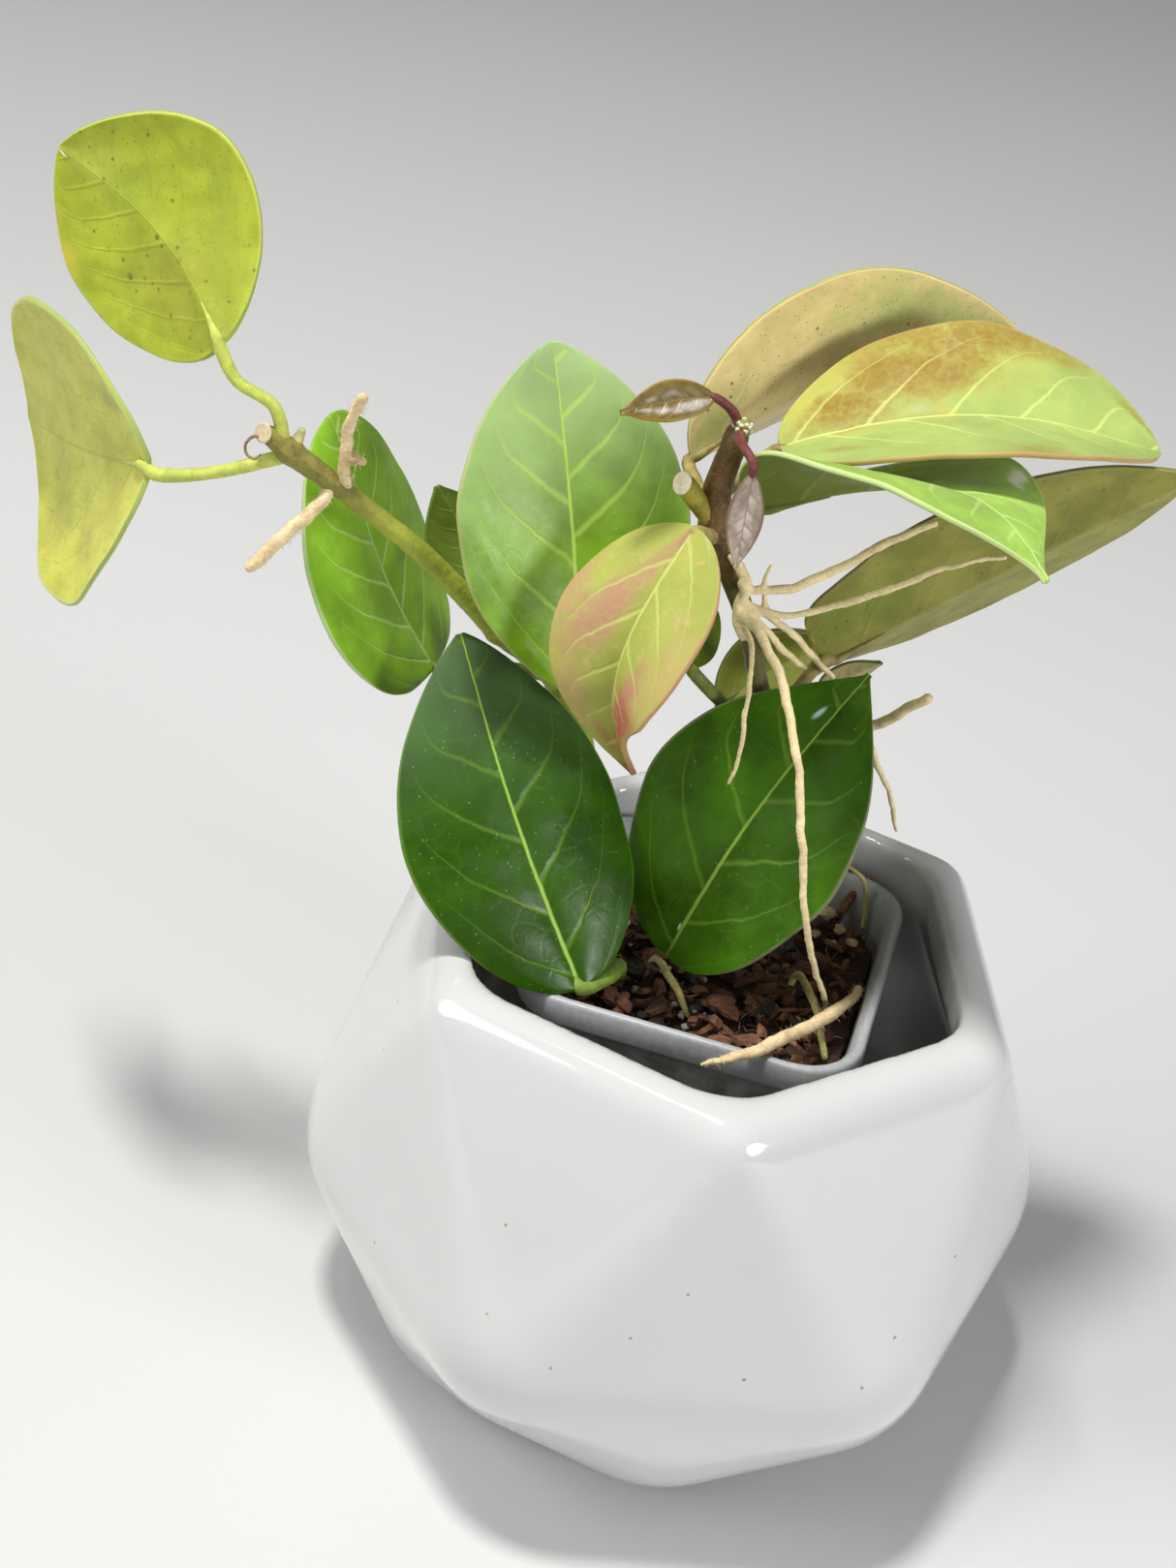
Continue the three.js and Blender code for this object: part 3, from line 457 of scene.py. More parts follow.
def plastic_material(colour, soil_height):
    """Frosted plastic: the dark mix shows through it below the soil, lightened there as painted
    light against the shadow of the cachepot's lip; the rim is paler.
    """
    material, s, surface = new_material("frosted_plastic", colour)
    place = s.object_place()
    height = s.add("SeparateXYZ", {0: place}).outputs[2]
    waver = s.math("MULTIPLY", s.math("SUBTRACT", s.noise(place, 160.0, 3.0), 0.5), 0.005)
    above = s.ease(s.math("ADD", height, waver), soil_height - 0.003, soil_height + 0.0012)
    lumps = s.noise(place, 190.0, 4.0, 0.6)
    # The mix seen through the plastic, made lighter as painted light against the shadow of the
    # cachepot's lip.
    behind = s.mix(s.ease(lumps, 0.4, 0.62), (0.23, 0.22, 0.21, 1), (0.44, 0.42, 0.40, 1))
    dots, lucky = s.dots(place, 210.0)
    grit = s.math("SUBTRACT", 1.0, s.ease(dots, 0.12, 0.34))
    behind = s.mix(s.math("MULTIPLY", grit, s.math("GREATER_THAN", lucky, 0.86)), behind,
                   (0.55, 0.54, 0.51, 1))
    frost = s.noise(place, 900.0, 2.0)
    clear = s.mix(s.ease(frost, 0.3, 0.75), rgba(shaded(colour, 0.93)), rgba(shaded(colour, 1.07)))
    s.feed(surface.inputs["Base Color"], s.mix(above, behind, clear))
    s.feed(surface.inputs["Roughness"], s.ease(frost, 0.25, 0.75, 0.34, 0.52))
    s.feed(surface.inputs["Normal"], s.bump(frost, 0.06, 0.0002))
    surface.inputs["Specular IOR Level"].default_value = 0.55
    return material


def stem_material(name, colour, streak, fleck, scale=260.0, gloss=0.42, lower=None):
    """Green or brown stem with streaks, small pores and a waxy skin. The lower tone is
    (colour, height where it ends)."""
    material, s, surface = new_material(name, colour)
    place = s.object_place()
    mottle = s.group(bpy.data.node_groups["Mottle"], {
        "Place": place, "Scale": scale, "Light": rgba(colour), "Dark": rgba(streak),
        "Fleck": rgba(fleck), "Fleck Amount": 0.55})
    pores = s.cells(place, scale * 7.0)
    skin = mottle["Colour"]
    if lower:
        height = s.add("SeparateXYZ", {0: place}).outputs[2]
        below, end = lower
        tone = s.mix(s.ease(mottle["Height"], 0.5, 1.0), rgba(shaded(below, 0.86)), rgba(below))
        skin = s.mix(s.ease(height, end - 0.012, end, 0.92, 0.0), skin, tone)
    s.feed(surface.inputs["Base Color"], skin)
    s.feed(surface.inputs["Roughness"],
           s.ease(mottle["Height"], 0.4, 1.1, gloss - 0.06, gloss + 0.14))
    height = s.math("ADD", mottle["Height"], s.math("MULTIPLY", pores, 0.35))
    s.feed(surface.inputs["Normal"], s.bump(height, 0.5, 0.00025))
    surface.inputs["Specular IOR Level"].default_value = 0.2
    return material


def root_material(name, colour, dark, scale=300.0):
    """Dry corky root with fine rings and pale scurf."""
    material, s, surface = new_material(name, colour)
    place = s.object_place()
    mottle = s.group(bpy.data.node_groups["Mottle"], {
        "Place": place, "Scale": scale, "Light": rgba(colour), "Dark": rgba(dark),
        "Fleck": (1.0, 0.88, 0.62, 1), "Fleck Amount": 0.5})
    grain = s.noise(s.object_place((1, 1, 2.6)), 1400.0, 3.0, 0.7)
    s.feed(surface.inputs["Base Color"],
           s.mix(s.ease(grain, 0.35, 0.6, 0.28, 0.0), mottle["Colour"], rgba(shaded(dark, 0.5))))
    surface.inputs["Roughness"].default_value = 0.82
    surface.inputs["Specular IOR Level"].default_value = 0.25
    s.feed(surface.inputs["Normal"], s.bump(s.math("ADD", grain, mottle["Height"]), 0.7, 0.0002))
    return material


def chip_material(name, light, dark, fibre, rough=0.9):
    """One sort of piece in the potting mix, each piece a little different by its tint."""
    material, s, surface = new_material(name, light)
    tint = s.add("Attribute", attribute_name="tint").outputs["Fac"]
    grain = s.noise(s.object_place((1, 2.4, 0.9)), fibre, 4.0, 0.7)
    body = s.mix(s.ease(grain, 0.3, 0.7), rgba(dark), rgba(light))
    s.feed(surface.inputs["Base Color"], s.mix(tint, body, rgba(shaded(dark, 0.45))))
    surface.inputs["Roughness"].default_value = rough
    s.feed(surface.inputs["Normal"], s.bump(grain, 0.9, 0.0004))
    return material


def leaf_material(name, look, face):
    """Waxy leaf skin with midrib, side veins and net, blushes, painted sheen and painted light in
    places, specks and dust.
    """
    base, shade, vein = look["base"], look["shade"], look["vein"]
    material, s, surface = new_material(name, base)
    blade = s.add("SeparateXYZ", {0: s.add("UVMap", uv_map="Blade").outputs[0]}).outputs
    edge = s.add("SeparateXYZ", {0: s.add("UVMap", uv_map="Margin").outputs[0]}).outputs
    across = s.math("SUBTRACT", blade[0], 0.5)
    side = s.math("SUBTRACT", s.math("MULTIPLY", edge[0], 2.0), 1.0)
    margin = s.math("ABSOLUTE", side)
    veins = s.group(bpy.data.node_groups["Venation"], {
        "Across": across, "Along": blade[1], "Margin": margin, "Spacing": look.get("spacing", 0.17),
        "Slant": look.get("slant", 0.75), "Vein Width": look.get("vein_width", 0.009),
        "Shift": look.get("shift", 0.1)})
    place = s.object_place()
    mottle = s.group(bpy.data.node_groups["Mottle"], {
        "Place": place, "Scale": look.get("patch", 70.0), "Light": rgba(base), "Dark": rgba(shade),
        "Fleck": rgba(look.get("fleck", base)), "Fleck Amount": look.get("flecks", 0.15)})
    skin = mottle["Colour"]
    ragged = s.math("MULTIPLY", s.math("SUBTRACT", s.noise(place, 130.0, 4.0, 0.65), 0.5), 1.6)
    grain = s.ease(s.noise(place, 900.0, 3.0, 0.7), 0.35, 0.62, 0.6, 1.0)
    # Spots are the leaf's own blushes, scars and marks, and in places painted light: the silver
    # sheen of the leaflets and a lighter patch on a fold in shadow.
    for u, t, size, strength, tone in look.get("spots", ()):
        du = s.math("MULTIPLY", s.math("SUBTRACT", side, u), 0.5)
        dt = s.math("SUBTRACT", edge[1], t)
        away = s.math("SQRT", s.math("ADD", s.math("POWER", s.math("ABSOLUTE", du), 2.0),
                                     s.math("POWER", s.math("ABSOLUTE", dt), 2.0)))
        away = s.math("ADD", away, s.math("MULTIPLY", ragged, size))
        blush_and_painted_light = s.math("SUBTRACT", 1.0, s.ease(away, size * 0.2, size * 1.15))
        if size > 0.05:
            blush_and_painted_light = s.math("MULTIPLY", blush_and_painted_light, grain)
        skin = s.mix(s.math("MULTIPLY", blush_and_painted_light, strength), skin, rgba(tone))
    if "streak" in look:
        wide = s.math("MULTIPLY", blade[0], 5.0)
        drawn_out = s.add("CombineXYZ", {0: wide, 1: blade[1], 2: 0.0}).outputs[0]
        drawn = s.ease(s.noise(drawn_out, 9.0, 4.0, 0.7), 0.52, 0.72, 0.0, 0.55)
        skin = s.mix(drawn, skin, rgba(look["streak"]))
    # The tip colour is the leaf's own on the young blushed leaf and a painted sheen on the tall
    # centre leaf and the front left leaf.
    if "tip" in look:
        start, end, strength = look["tip_from"]
        uneven = s.math("ADD", edge[1], s.math("MULTIPLY", ragged, 0.06))
        reached = s.ease(uneven, start, end, 0.0, strength)
        skin = s.mix(reached, skin, rgba(look["tip"]))
    midrib, side_veins, net = look.get("vein_strength", (0.8, 0.5, 0.15))
    skin = s.mix(s.math("MULTIPLY", veins["Net"], net), skin, rgba(vein))
    skin = s.mix(s.math("MULTIPLY", veins["Side Veins"], side_veins), skin, rgba(vein))
    skin = s.mix(s.math("MULTIPLY", veins["Midrib"], midrib), skin, rgba(look.get("rib", vein)))
    rim = s.ease(margin, look.get("rim_from", 0.955), 0.995)
    rim = s.math("MULTIPLY", rim, look.get("rim_strength", 0.6))
    skin = s.mix(rim, skin, rgba(look.get("rim", vein)))
    for size, chance, amount, tone in look.get("specks", ()):
        near, lucky = s.dots(place, size)
        gathered = s.math("MULTIPLY", s.noise(place, 55.0, 2.0), 0.35)
        likely = s.math("GREATER_THAN", s.math("ADD", lucky, gathered), chance)
        dot = s.math("MULTIPLY", s.math("SUBTRACT", 1.0, s.ease(near, 0.10, 0.30)), likely)
        skin = s.mix(s.math("MULTIPLY", dot, amount), skin, rgba(tone))
    s.feed(surface.inputs["Base Color"], skin)
    gloss = look.get("gloss", 0.36)
    s.feed(surface.inputs["Roughness"],
           s.ease(s.noise(place, 300.0, 3.0), 0.3, 0.7, gloss - 0.05, gloss + 0.08))
    raised = -1.0 if face == "upper" else 1.0
    lines = s.math("ADD", s.math("MULTIPLY", veins["Midrib"], 1.2), veins["Side Veins"])
    lines = s.math("MULTIPLY", lines, raised)
    lines = s.math("ADD", lines, s.math("MULTIPLY", veins["Net"], 0.15 * raised))
    pores = s.math("MULTIPLY", s.cells(place, 1500.0), 0.10)
    height = s.math("ADD", lines, s.math("ADD", s.math("MULTIPLY", veins["Ribs"], 0.9), pores))
    s.feed(surface.inputs["Normal"], s.bump(height, 0.3, 0.0003))
    surface.inputs["Specular IOR Level"].default_value = look.get("sheen", 0.12)
    surface.inputs["Subsurface Weight"].default_value = look.get("glow", 0.3)
    surface.inputs["Subsurface Radius"].default_value = (1.0, 1.0, 0.35)
    surface.inputs["Subsurface Scale"].default_value = 0.0008
    return material


# ---- cachepot ------------------------------------------------------------------------------------
POT_TURN = 40
LIP_ROUNDING, WAIST_ROUNDING, FOOT_ROUNDING = 6.5 * MM, 24 * MM, 26 * MM
MOUTH_ROUNDING = 13 * MM
MOUTH_FLARE = 1 * MM
MOUTH_SHIFT = Vector((-0.4, 0.5, 0)) * MM
THROAT_HEIGHT = 84.5 * MM
INNER_FLOOR, INNER_FLOOR_RADIUS, INNER_FLOOR_ROUNDING = 8 * MM, 48 * MM, 12 * MM


def corner_balls(radius, height, turn, rounding):
    """Spheres on the corners of a hexagon, all lengths in metres."""
    balls = []
    for i in range(6):
        angle = math.radians(60 * i + turn)
        reach = radius - rounding
        begin()
        bpy.ops.mesh.primitive_ico_sphere_add(
            subdivisions=4, radius=rounding,
            location=(reach * math.cos(angle), reach * math.sin(angle), height),
        )
        balls.append(bpy.context.object)
    return balls


def skin_over(balls, name):
    """The skin stretched over the balls."""
    piece = join(balls, name)
    settle(piece)
    bpy.ops.object.mode_set(mode="EDIT")
    bpy.ops.mesh.select_all(action="SELECT")
    bpy.ops.mesh.convex_hull()
    bpy.ops.object.mode_set(mode="OBJECT")
    return piece


def softened(piece, grain, rounds):
    """Even skin whose facet edges melt into each other."""
    modify(piece, "REMESH", mode="VOXEL", voxel_size=grain)
    modify(piece, "SMOOTH", factor=0.5, iterations=rounds)


def make_cachepot(sizes, colours):
    """Three hexagons of balls under one skin, with a hollow and an opening cut from it."""
    grain, top, wall = sizes.facet_softness, sizes.height, sizes.wall
    waist_turn = POT_TURN + 30
    pot = skin_over(
        corner_balls(sizes.lip_radius, top - LIP_ROUNDING, POT_TURN, LIP_ROUNDING)
        + corner_balls(sizes.waist_radius, sizes.waist_height, waist_turn, WAIST_ROUNDING)
        + corner_balls(sizes.foot_radius, FOOT_ROUNDING, POT_TURN, FOOT_ROUNDING), "cachepot_shell")
    softened(pot, grain, 6)
    throat, mouth = sizes.throat_radius, sizes.throat_radius + MOUTH_FLARE
    hollow = skin_over(
        corner_balls(throat, THROAT_HEIGHT, POT_TURN, MOUTH_ROUNDING)
        + corner_balls(sizes.waist_radius - wall, sizes.waist_height, waist_turn,
                       WAIST_ROUNDING - wall)
        + corner_balls(INNER_FLOOR_RADIUS, INNER_FLOOR + INNER_FLOOR_ROUNDING, POT_TURN,
                       INNER_FLOOR_ROUNDING), "hollow")
    opening = skin_over(
        corner_balls(throat, THROAT_HEIGHT, POT_TURN, MOUTH_ROUNDING)
        + corner_balls(mouth, top + MOUTH_ROUNDING, POT_TURN, MOUTH_ROUNDING), "opening")
    for cutter in (hollow, opening):
        cutter.data.transform(Matrix.Translation(MOUTH_SHIFT))
        modify(pot, "BOOLEAN", object=cutter, operation="DIFFERENCE", solver="MANIFOLD")
        bpy.data.objects.remove(cutter)
    softened(pot, grain * 0.8, 12)
    dress(pot, glaze_material(colours.glaze))
    stand_for(pot, "cachepot")


# ---- nursery pot ---------------------------------------------------------------------------------
NURSERY_CENTRE = Vector((0.8, 3.8, 0)) * MM
NURSERY_TURN = math.radians(-6.6)
NURSERY_FOOT = 8.3 * MM
NURSERY_CORNER = 10.5 * MM
BAND_STEP = 1.3 * MM
BAND_HEIGHT = 5 * MM
NURSERY_WALL = 0.0011
NURSERY_FLOOR = 0.0016
DRAIN_RADIUS, DRAIN_DEPTH, DRAIN_OFFSET = 0.003, 0.008, 0.013
RIM_SIDE = 0.0605                    # side of the square that the corner radius is given for


def nursery_side(sizes, height):
    """Side of the tapering wall's outer face at a height."""
    t = (height - NURSERY_FOOT) / (sizes.nursery_rim - NURSERY_FOOT)
    return sizes.nursery_foot * (1 - t) + (sizes.nursery_side - 2 * BAND_STEP) * t


def rounded_plate(name, side, height):
    """A square plate with rounded corners, turned as the nursery pot is."""
    begin()
    bpy.ops.mesh.primitive_plane_add(size=side, location=NURSERY_CENTRE + Vector((0, 0, height)),
                                     rotation=(0, 0, NURSERY_TURN))
    plate = bpy.context.object
    plate.name = name
    settle(plate)
    bpy.ops.object.mode_set(mode="EDIT")
    bpy.ops.mesh.select_all(action="SELECT")
    bpy.ops.mesh.bevel(offset=NURSERY_CORNER * side / RIM_SIDE, segments=7, affect="VERTICES")
    bpy.ops.mesh.select_all(action="SELECT")
    return plate


def raise_rings(rings, side, height):
    """Extrudes the plate in edit mode from ring to ring, each (side, height)."""
    for new_side, new_height in rings:
        bpy.ops.mesh.extrude_region_move(
            TRANSFORM_OT_translate={"value": (0, 0, new_height - height)})
        scale = new_side / side
        bpy.ops.transform.resize(value=(scale, scale, 1),
                                 center_override=NURSERY_CENTRE + Vector((0, 0, new_height)))
        side, height = new_side, new_height
    bpy.ops.mesh.select_all(action="SELECT")
    bpy.ops.mesh.normals_make_consistent(inside=False)
    bpy.ops.object.mode_set(mode="OBJECT")


def make_nursery_pot(sizes, colours):
    """A plate raised up the outside, over the rim band and down the inside, with four drains."""
    rim, foot, side = sizes.nursery_rim, NURSERY_FOOT, sizes.nursery_side
    band = rim - BAND_HEIGHT
    at = lambda height, inset=0.0: (nursery_side(sizes, height) - 2 * inset, height)
    start = at(foot, 0.0012)
    pot = rounded_plate("nursery_pot_frosted", *start)
    raise_rings([
        at(foot + 0.0004, 0.0004), at(foot + 0.0016), at(foot + 0.02), at(foot + 0.045),
        at(band - 0.0012), (side - 0.0006, band - 0.0003), (side - 0.0001, band + 0.0004),
        (side, rim - 0.0008), (side - 0.0005, rim - 0.0002), (side - 0.0013, rim),
        (side - 0.0026, rim), (side - 0.0034, rim - 0.0005), at(rim - 0.002, NURSERY_WALL),
        at(band, NURSERY_WALL), at(foot + 0.03, NURSERY_WALL), at(foot + 0.0022, NURSERY_WALL),
        at(foot + NURSERY_FLOOR, 0.003),
    ], *start)
    for sx, sy in ((1, 1), (-1, 1), (-1, -1), (1, -1)):
        begin()
        bpy.ops.mesh.primitive_cylinder_add(
            radius=DRAIN_RADIUS, depth=DRAIN_DEPTH, vertices=28,
            location=NURSERY_CENTRE + Vector((DRAIN_OFFSET * sx, DRAIN_OFFSET * sy, foot)))
        drain = bpy.context.object
        modify(pot, "BOOLEAN", object=drain, operation="DIFFERENCE", solver="EXACT")
        bpy.data.objects.remove(drain)
    modify(pot, "BEVEL", width=0.0002, segments=2, limit_method="ANGLE",
           angle_limit=math.radians(40))
    dress(pot, plastic_material(colours.plastic, sizes.soil_height))
    stand_for(pot, "nursery_pot")
    bpy.ops.object.shade_smooth_by_angle(angle=math.radians(35))


# ---- potting mix ---------------------------------------------------------------------------------
def scatter(prototype, places):
    """Copies of a small shape, each with its own mesh. A place is (matrix, tint)."""
    copies = []
    for place, tint in places:
        piece = prototype.copy()
        piece.data = prototype.data.copy()
        piece.data.transform(place)
        layers = piece.data.attributes
        shade = layers.get("tint") or layers.new("tint", "FLOAT", "POINT")
        for item in shade.data:
            item.value = tint
        bpy.context.scene.collection.objects.link(piece)
        copies.append(piece)
    return copies


def chip_shape(name, size, seed, detail=2, sharp=0.35, flat=0.72):
    """An irregular lump of bark, coal or stone in its own axes, sizes in mm. Sharp is the depth of
    its dents, and flat is how far from the middle its sides are cut."""
    chance = random.Random(seed)
    lump = pebble(name, (0, 0, 0), 1.0, detail)
    settle(lump)
    for vertex in lump.data.vertices:
        spot = vertex.co / MM
        box = Vector(max(-flat, min(flat, c)) for c in spot)
        dent = 1 + sharp * noise.noise(spot * 1.6 + Vector((seed * 3.1, 0, 0)))
        vertex.co = Vector((box.x * size[0], box.y * size[1], box.z * size[2])) * dent * MM
    skew = chance.uniform(-0.3, 0.3)
    for vertex in lump.data.vertices:
        vertex.co.x += skew * vertex.co.z
    return lump


MIX_SEED = 5
MIX_INSET = 0.0015                   # from the nursery pot's outer face to the mix
MIX_FOOT = NURSERY_FOOT + 0.0019
CHIP_MARGIN = 0.0036                 # from a chip's middle to the nursery pot's outer face
TWIG = [(21, 25, 80, 1.1), (22.4, 26.8, 83, 0.95), (24, 29, 86, 0.9), (26.2, 31.4, 88.6, 0.62)]
SMALL_TWIG = [(14, -12, 82, 0.5), (17, -16, 84, 0.45), (19, -19, 85, 0.32)]
STRAND = [(-3.4, 0, 0, 0.10), (-1.2, 0.8, 0.5, 0.16), (1.4, -0.4, 0.2, 0.16), (3.6, 0.9, 0.4, 0.08)]
THREAD = [(-2.4, 0, 0, 0.07), (-0.6, 0.9, 0.5, 0.09), (1.6, 0.5, 0.7, 0.06)]
# Place in mm, turn, size and tint of each pale lump that lies on top.
PALE_LUMPS = (
    ((19.5, 24.5, 83.6), 0.4, 1.25, 0.0), ((22.5, 20.5, 83.4), 1.9, 0.95, 0.2),
    ((25.0, 17.5, 83.2), 2.8, 0.8, 0.0), ((18.0, 17.5, 83.4), 0.9, 0.85, 0.35),
    ((15.5, 22.0, 83.5), 2.2, 0.7, 0.1), ((-6.5, -1.5, 83.3), 1.2, 0.5, 0.2),
    ((21.5, -9.5, 83.2), 0.3, 0.5, 0.0),
)


def mix_heap(sizes):
    """The body of the mix below its loose top, dark with bark dust."""
    top = sizes.soil_height
    at = lambda height: (nursery_side(sizes, height) - 2 * MIX_INSET, height)
    start = at(MIX_FOOT)
    heap = rounded_plate("potting_mix_heap", *start)
    raise_rings([at(MIX_FOOT + 0.02), at(MIX_FOOT + 0.04), at(top - 0.012), at(top - 0.003)],
                *start)
    modify(heap, "REMESH", mode="VOXEL", voxel_size=0.0011)
    knobbly(heap, 5.0, 1.6)
    dress(heap, chip_material("bark_dust", (0.085, 0.040, 0.024), (0.022, 0.012, 0.009), 900.0))
    return heap


def chip_kinds(chance, bark):
    """Each shape of loose piece, with its material and how many of it there are."""
    coal = chip_material("charcoal_chip", (0.022, 0.020, 0.019), (0.008, 0.008, 0.008), 420.0, 0.6)
    perlite = chip_material("perlite_grain", (0.62, 0.60, 0.56), (0.42, 0.39, 0.34), 700.0)
    pith = chip_material("pale_wood_chip", (0.50, 0.25, 0.10), (0.24, 0.10, 0.04), 800.0)
    kinds = []
    for seed in range(6):
        size = (chance.uniform(1.8, 3.4), chance.uniform(0.8, 1.7), chance.uniform(0.5, 1.0))
        kinds.append((chip_shape("bark", size, seed), bark, 46))
    for seed in range(6, 9):
        kinds.append((chip_shape("coal", (1.9, 1.4, 1.0), seed, sharp=0.6), coal, 14))
    kinds.append((chip_shape("perlite", (0.8, 0.7, 0.6), 11), perlite, 30))
    kinds.append((chip_shape("pith", (1.8, 0.9, 0.6), 12), pith, 24))
    kinds.append((tube("strand", STRAND, 2, roundness=0), bark, 70))
    kinds.append((tube("thread", THREAD, 2, roundness=0), pith, 40))
    return kinds


def strewn_places(chance, count, sizes):
    """Places at random over the top of the mix, each tumbled, sized and tinted its own way."""
    places = []
    for _ in range(count):
        size = chance.uniform(0.55, 1.25)
        room = nursery_side(sizes, sizes.soil_height) / 2 - CHIP_MARGIN - 0.0016 * size
        height = sizes.soil_height + chance.uniform(-2.6, 0.5) * MM
        spot = Matrix.Rotation(NURSERY_TURN, 4, "Z") @ Vector(
            (chance.uniform(-room, room), chance.uniform(-room, room), 0))
        turn = (Matrix.Rotation(chance.uniform(0, math.tau), 4, "Z")
                @ Matrix.Rotation(chance.uniform(-0.7, 0.7), 4, "X")
                @ Matrix.Rotation(chance.uniform(-0.7, 0.7), 4, "Y"))
        places.append((Matrix.Translation(NURSERY_CENTRE + spot + Vector((0, 0, height)))
                       @ turn @ Matrix.Scale(size, 4), chance.random() ** 1.5))
    return places


def make_potting_mix(sizes, colours):
    """A heap with chips, grit, fibres, pale lumps and two twigs on it."""
    chance = random.Random(MIX_SEED)
    pieces = [mix_heap(sizes)]
    bark = chip_material("bark_chip", colours.bark, shaded(colours.bark, 0.35), 620.0)
    for shape, material, count in chip_kinds(chance, bark):
        dress(shape, material)
        pieces += scatter(shape, strewn_places(chance, count, sizes))
        bpy.data.objects.remove(shape)
    lump = chip_shape("lump", (1.45, 1.1, 0.9), 14, flat=0.96)
    dress(lump, chip_material("pale_lump", (0.72, 0.56, 0.36), (0.34, 0.19, 0.09), 900.0))
    pieces += scatter(lump, [
        (Matrix.Translation(Vector(spot) * MM) @ Matrix.Rotation(turn, 4, "Z")
         @ Matrix.Scale(size, 4), tint)
        for spot, turn, size, tint in PALE_LUMPS])
    bpy.data.objects.remove(lump)
    for name, path in (("twig", TWIG), ("small_twig", SMALL_TWIG)):
        twig = tube(name, path, 4)
        knobbly(twig, 1.2, 0.35)
        dress(twig, bark)
        pieces.append(twig)
    mix = join(pieces, "potting_mix_chunks")
    stand_for(mix, "potting_mix")
    bpy.ops.object.shade_smooth_by_angle(angle=math.radians(38))


# ---- stems ---------------------------------------------------------------------------------------
MAIN_STEM = [
    (10, 17, 68, 1.7), (9, 17, 84, 1.8), (7, 15, 101, 1.8), (4, 14, 117, 1.7), (2, 12, 127, 1.7),
    (-1, 10, 137, 1.7), (-5, 8, 149, 1.7), (-9, 6, 158, 2.0), (-12.5, 5, 165, 2.7),
    (-13, 5, 169, 2.5), (-13, 5, 173, 2.35), (-12, 4.5, 179, 2.1), (-11.5, 4, 182, 2.0),
    (-10.5, 4, 184, 0.8),
]
MAIN_STEM_RINGS = ((4, (-3, -2, 10), 0.12), (8, (-2, 0, 6), 0.05))
CUT_STUB = [(-12, 5, 165, 1.6), (-15, 3.5, 169, 1.65), (-17.8, 1.5, 173, 1.8)]
SHOOT_BUD, BUD_RADIUS, BUD_SCALES, BUD_SEED = (-10.9, 3.6, 183.4), 1.5, 14, 8
VINE = [
    (-16, 7, 68, 1.8), (-17, 7, 84, 1.9), (-20, 7, 95, 1.9), (-23, 9, 105, 1.9),
    (-27, 10, 114, 1.9), (-30, 11, 122, 1.9), (-34, 10, 129, 2.2), (-40, 9, 134, 1.9),
    (-45, 7, 138, 1.9), (-49, 5, 143, 1.9), (-58, 1, 153, 1.8), (-64, -1, 158, 1.7),
    (-72, -3, 164, 1.7), (-79, -5, 169, 2.1), (-82.5, -5.5, 171.5, 1.5),
]
VINE_RINGS = ((6, (-6, -1, 6), 0.12), (8, (-5, -2, 4), 0.10), (13, (-5, -1, 3), 0.05))
DORMANT_BUD = [(-79, -4.5, 168.5, 1.0), (-78.3, -4.0, 170.6, 1.05), (-77.8, -3.6, 172.2, 0.6)]
DRY_TENDRIL = [
    (-82.6, -6.0, 170.6, 0.34), (-84.3, -7.0, 171.4, 0.3), (-85.5, -7.4, 170.0, 0.26),
    (-85.2, -7.3, 168.2, 0.22), (-84.0, -7.0, 167.6, 0.2), (-83.2, -6.7, 168.4, 0.16),
]


def cut_face(name, spot, facing, radius, material):
    """Pale healed end of a cut stem: a shallow dish with a raised ring."""
    begin()
    turn = Vector(facing).to_track_quat("Z", "Y").to_euler()
    bpy.ops.mesh.primitive_circle_add(vertices=20, radius=radius * MM, fill_type="NGON",
                                      location=Vector(spot) * MM, rotation=turn)
    disc = bpy.context.object
    disc.name = name
    normal = Vector(facing).normalized()
    bpy.ops.object.mode_set(mode="EDIT")
    bpy.ops.mesh.select_all(action="SELECT")
    bpy.ops.mesh.extrude_region_move(TRANSFORM_OT_translate={"value": normal * 0.3 * MM})
    bpy.ops.mesh.inset(thickness=radius * 0.22 * MM)
    bpy.ops.transform.translate(value=normal * 0.15 * MM)
    bpy.ops.mesh.inset(thickness=radius * 0.3 * MM)
    bpy.ops.transform.translate(value=normal * -0.2 * MM)
    bpy.ops.mesh.select_all(action="SELECT")
    bpy.ops.mesh.normals_make_consistent(inside=False)
    bpy.ops.object.mode_set(mode="OBJECT")
    settle(disc)
    modify(disc, "SUBSURF", levels=1, render_levels=1)
    dress(disc, material)
    return disc


def node_ring(path_point, toward, swell):
    """A slight swelling where leaves left the stem, as a short fat tube."""
    spot, way = Vector(path_point[:3]), Vector(toward).normalized()
    return [(*(spot + way * reach), path_point[3] * size)
            for reach, size in ((-2.2, 0.7), (-0.9, 1.0 + swell), (0.9, 1.0 + swell), (2.2, 0.7))]


def ringed_stem(path, rings, name, plant):
    """A stem with a swelling at each node. A ring is (point of the path, direction, swell)."""
    tubes = [tube("stem", path, 5)]
    tubes += [tube("ring", node_ring(path[point], toward, swell), 3)
              for point, toward, swell in rings]
    return fused(tubes, name, plant.root_grain)


